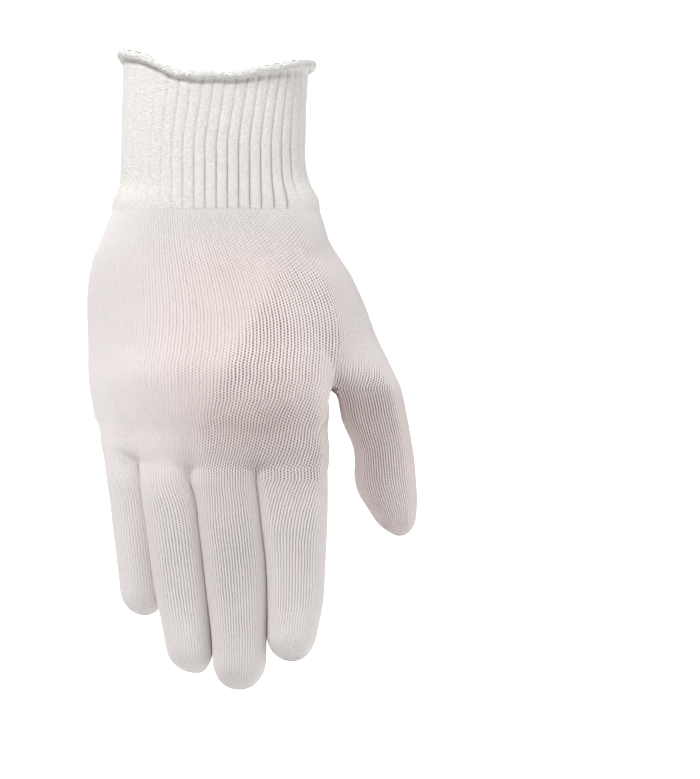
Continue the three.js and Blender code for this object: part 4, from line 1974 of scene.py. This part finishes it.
@dataclass(frozen=True)
class PlainKnitFinish:
    """Plain knit in matt off-white yarn: columns of leaning stitches with a dotted dark line between them,
    and painted shade where the mesh stores it.
    """

    closed: tuple = linear(240, 237, 235)
    yarn: tuple = linear(253, 250, 248)
    rosy: tuple = linear(253, 240, 240)
    # The dark between the wales, also the colour of the painted shade.
    gap: tuple = linear(76, 46, 44)
    fuzz: tuple = (0.5, 0.47, 0.45, 1.0)
    roughness: float = 0.92
    specular: float = 0.18
    sheen: float = 0.15

    def make(self) -> bpy.types.Material:
        """Makes the material.

        Returns:
            The material.
        """
        g = Graph("plain_knit_yarn")
        wale, course = g.stitches()
        wale = wale + (g.noise(220.0, 2.0) - 0.5) * 0.6
        between = g.wave(wale)
        ridge = 1 - between
        lean = g.math(Op.ABSOLUTE, g.math(Op.FRACT, wale) - 0.5)
        legs = g.wave(course + lean * 0.9)
        stagger = g.math(Op.FRACT, g.math(Op.FLOOR, wale + 0.5) * 0.5)
        dots = g.wave(course + 0.5 + stagger)
        line = between ** 2.7
        striped = g.attribute("striped") * g.wave(wale, 2.0)
        patches = 0.5 + g.noise(70.0, 3.0)
        grains = 0.6 + 0.8 * g.noise(700.0, 1.0)
        opened = g.attribute("openness") * patches * grains
        holes_and_shade = line * (0.12 + 0.88 * dots ** 1.4) * opened * (1.35 + 0.5 * striped)
        # Adds painted shade from the stored share: the yarn is darkened towards the gap colour over the
        # thumb, below the knuckles and along the fingers.
        holes_and_shade = g.math(Op.MINIMUM, holes_and_shade + g.attribute("painted_shade") * (0.16 + 0.08 * between), 1.0)
        base = g.blend(g.math(Op.MINIMUM, g.attribute("openness") * 2.0, 1.0), self.closed, self.yarn)
        base = g.blend(g.attribute("rosy"), base, g.blend(1.0, self.rosy, base, "MULTIPLY"))
        base = g.blend(holes_and_shade, base, self.gap)
        fibre = g.noise(1200.0, 2.0, 0.6)
        base = g.fleck(base, fibre, 0.5, 0.19, self.fuzz)
        height = ridge * 0.5 + legs * ridge * 0.35 + fibre * 0.3
        g.matt(base, self.roughness, self.specular, self.sheen)
        g.bump(height, 0.00035, 0.8)
        return g.material


@dataclass(frozen=True)
class RibKnitFinish:
    """Mock rib: five fine wales to a rib and a dotted dark line in each valley, with painted shade round each
    valley.
    """

    yarn: tuple = linear(243, 239, 235)
    # The dark in the valleys, also the colour of the painted shade round them.
    gap: tuple = linear(84, 74, 68)
    fuzz: tuple = (0.5, 0.48, 0.46, 1.0)
    roughness: float = 0.92
    specular: float = 0.18
    sheen: float = 0.15
    wales_per_rib: float = 5.0

    def make(self) -> bpy.types.Material:
        """Makes the material.

        Returns:
            The material.
        """
        g = Graph("mock_rib_yarn")
        wale, course = g.stitches()
        between = g.wave(wale)
        rib = g.math(Op.COSINE, wale * (TURN / self.wales_per_rib))
        crest = g.math(Op.MAXIMUM, rib, 0.0)
        valley = crest ** 12.0
        dots = g.wave(course)
        opened = g.attribute("openness")
        patches = 0.55 + 0.9 * g.noise(260.0, 2.0)
        # The crest ** 3 term is painted shade round each groove between the ribs; the narrow valley term is
        # the dotted line.
        holes_and_shade = valley * dots ** 2.0 * opened * 1.1 * patches + crest ** 3.0 * 0.2 * (opened + 0.1) * patches
        holes_and_shade = holes_and_shade + between ** 2.0 * dots * 0.26 * opened * opened
        holes_and_shade = g.math(Op.MINIMUM, holes_and_shade, 0.9)
        base = g.blend(holes_and_shade, self.yarn, self.gap)
        base = g.fleck(base, g.noise(1000.0, 2.0), 0.7, 0.24, self.fuzz)
        legs = g.wave(course + wale)
        g.matt(base, self.roughness, self.specular, self.sheen)
        lumps = g.noise(1400.0, 2.0, 0.6)
        g.bump((1 - between) * 0.12 + legs * 0.1 + lumps * 1.4 - crest ** 3.0 * 0.3, 0.0006, 0.8)
        return g.material


@dataclass(frozen=True)
class OverlockFinish:
    """Soft fluffy overlocking yarn, nearly white."""

    yarn: tuple = linear(250, 249, 246)
    shade: tuple = linear(190, 186, 178)
    thread: tuple = linear(92, 104, 108)
    thread_place: float = 0.205
    roughness: float = 0.95
    specular: float = 0.15
    sheen: float = 0.2

    def make(self) -> bpy.types.Material:
        """Makes the material.

        Returns:
            The material.
        """
        g = Graph("overlock_yarn")
        around, along = g.stitches()
        wraps = g.wave(along - around * 2)
        fibre = g.noise(1000.0, 2.0, 0.6)
        base = g.blend((1 - wraps) * 0.15, self.yarn, self.shade)
        base = g.fleck(base, fibre, 1.3, 0.45, self.shade)
        aside = g.math(Op.ABSOLUTE, around - self.thread_place)
        top = g.math(Op.SUBTRACT, 1.2, aside * 20.0, clamp=True)
        dashes = g.math(Op.GREATER_THAN, g.math(Op.COSINE, along * (TURN / 5)), -0.1)
        base = g.blend(top * dashes * g.attribute("thread"), base, self.thread)
        g.matt(base, self.roughness, self.specular, self.sheen)
        g.bump(wraps * 0.2 + fibre * 2.0, 0.0008, 0.9)
        return g.material


@dataclass(frozen=True)
class BackdropFinish:
    """White paper that glows as painted light, brightest behind the glove and dimmer towards the front and
    the sides.
    """

    glow: float = 1.0
    near: float = 0.15

    def make(self) -> bpy.types.Material:
        """Makes the material.

        Returns:
            The material.
        """
        g = Graph("white_paper")
        x, y = g.split(g.node("ShaderNodeTexCoord", out="Object"))
        settings = {"interpolation_type": "SMOOTHSTEP"}
        behind = g.node("ShaderNodeMapRange", settings, {"Value": y, "From Min": -0.1, "From Max": 0.17})
        aside = g.math(Op.ABSOLUTE, x - 0.052)
        sockets = {"Value": aside, "From Min": 0.75, "From Max": 0.36}
        lit = behind * g.node("ShaderNodeMapRange", settings, sockets)
        g.set(base_color=(0.6, 0.6, 0.6, 1.0), roughness=0.9)
        # The emission is painted light: the paper glows in place of lamps lighting it.
        g.set(emission_color=g.blend(lit, (self.near, self.near, self.near, 1.0), (1.0, 1.0, 1.0, 1.0)))
        g.feed(g.shader.inputs["Emission Strength"], self.glow)
        return g.material


@dataclass
class Studio:
    """White paper that curves from the floor up the back, soft lights and the camera at the photo's angle."""

    middle: tuple = (52.3, 0.0, -126.2)
    distance: float = 1139.0
    floor: float = -300.0
    lens: float = 135.0
    sensor: float = 36.0
    far_end: float = 20.0
    air: float = 0.17
    lamp_aim: tuple = (15.0, 0.0, -125.0)

    def backdrop(self) -> bpy.types.Object:
        """Builds the curved paper.

        Returns:
            The object.
        """
        x = np.linspace(-3000, 3000, 13) + self.middle[0]
        flat = [(-2200.0 + 220 * i, 0.0) for i in range(13)]
        turns = np.linspace(0.1, math.pi / 2, 14)
        curve = [(440 + 500 * math.sin(t), 500 - 500 * math.cos(t)) for t in turns]
        wall = [(940.0, 500.0 + 250 * i) for i in range(1, 9)]
        profile = np.array(flat + curve + wall)
        points = np.stack([np.stack([x, np.full_like(x, y), np.full_like(x, z + self.floor)], -1)
                           for y, z in profile])
        parts = MeshParts()
        parts.add_grid(parts.add_points(points), x * 0.001, profile[:, 0] * 0.001, False, flip=True)
        return parts.make("studio_paper")

    def lamp(self, name: str, place: tuple, size: float, power: float) -> None:
        """Adds a soft square lamp that looks at the glove.

        Args:
            name: The lamp's name.
            place: Where it hangs, in millimetres.
            size: The side of its square, in millimetres.
            power: Its power in watts.
        """
        data = bpy.data.lights.new(name, "AREA")
        data.shape = "SQUARE"
        data.size = size * MM
        data.energy = power
        lamp = bpy.data.objects.new(name, data)
        spot = Vector(place) * MM
        aim = Vector(self.lamp_aim) * MM - spot
        lamp.location = spot
        lamp.rotation_euler = aim.to_track_quat("-Z", "Y").to_euler()
        bpy.context.scene.collection.objects.link(lamp)

    def build(self) -> bpy.types.Object:
        """Sets up the paper, the lights, the surroundings and the camera.

        Returns:
            The paper.
        """
        scene = bpy.context.scene
        paper = self.backdrop()
        paper.data.materials.append(BackdropFinish().make())
        self.lamp("key_softbox", (-400.0, -580.0, 700.0), 460.0, 10.4)
        self.lamp("top_softbox", (-60.0, -40.0, 640.0), 500.0, 1.6)
        self.lamp("side_softbox", (560.0, -160.0, -40.0), 500.0, 1.4)
        world = bpy.data.worlds.new("studio_air")
        world.use_nodes = True
        background = world.node_tree.nodes["Background"]
        background.inputs[0].default_value = (1.0, 1.0, 1.0, 1.0)
        background.inputs[1].default_value = self.air
        scene.world = world
        scene.view_settings.view_transform = "Standard"
        data = bpy.data.cameras.new("camera")
        data.lens = self.lens
        data.sensor_fit = "VERTICAL"
        data.sensor_height = self.sensor
        data.clip_end = self.far_end
        camera = bpy.data.objects.new("camera", data)
        camera.location = Vector((self.middle[0], -self.distance, self.middle[2])) * MM
        camera.rotation_euler = (math.pi / 2, 0.0, 0.0)
        scene.collection.objects.link(camera)
        scene.camera = camera
        return paper


PIECES = (
    ("hand_plain_knit", "hand", ("upper", "lower", "roots")),
    ("thumb_plain_knit", "thumb", ("thumb",)),
    ("index_finger_plain_knit", "index_finger", ("index_finger",)),
    ("middle_finger_plain_knit", "middle_finger", ("middle_finger",)),
    ("ring_finger_plain_knit", "ring_finger", ("ring_finger",)),
    ("little_finger_plain_knit", "little_finger", ("little_finger",)),
)


def dress(thing: bpy.types.Object, node: str, finish: bpy.types.Material, body: str) -> None:
    """Gives a piece its finish and its place in the frame.

    Args:
        thing: The piece.
        node: The node that it stands for.
        finish: The material.
        body: The body that it rides on.
    """
    thing.data.materials.append(finish)
    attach(thing, body)
    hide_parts(node)
    LOG.info("%s: %d points, stands for %s", thing.name, len(thing.data.vertices), node)


def main() -> None:
    """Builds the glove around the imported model."""
    logging.basicConfig(level=logging.INFO, format="%(message)s")
    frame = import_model()
    body = next(iter(frame["bodies"]))
    Studio().build()
    plain = PlainKnitFinish().make()
    knitting = Knitting(Body())
    for name, node, tubes in PIECES:
        dress(KnitPiece(name, node, tubes, knitting).build(), node, plain, body)
    cuff = Cuff()
    dress(cuff.build(), "cuff", RibKnitFinish().make(), body)
    dress(RolledEdge().build(cuff), "cuff_edge", OverlockFinish().make(), body)


if __name__ == "__main__":
    main()
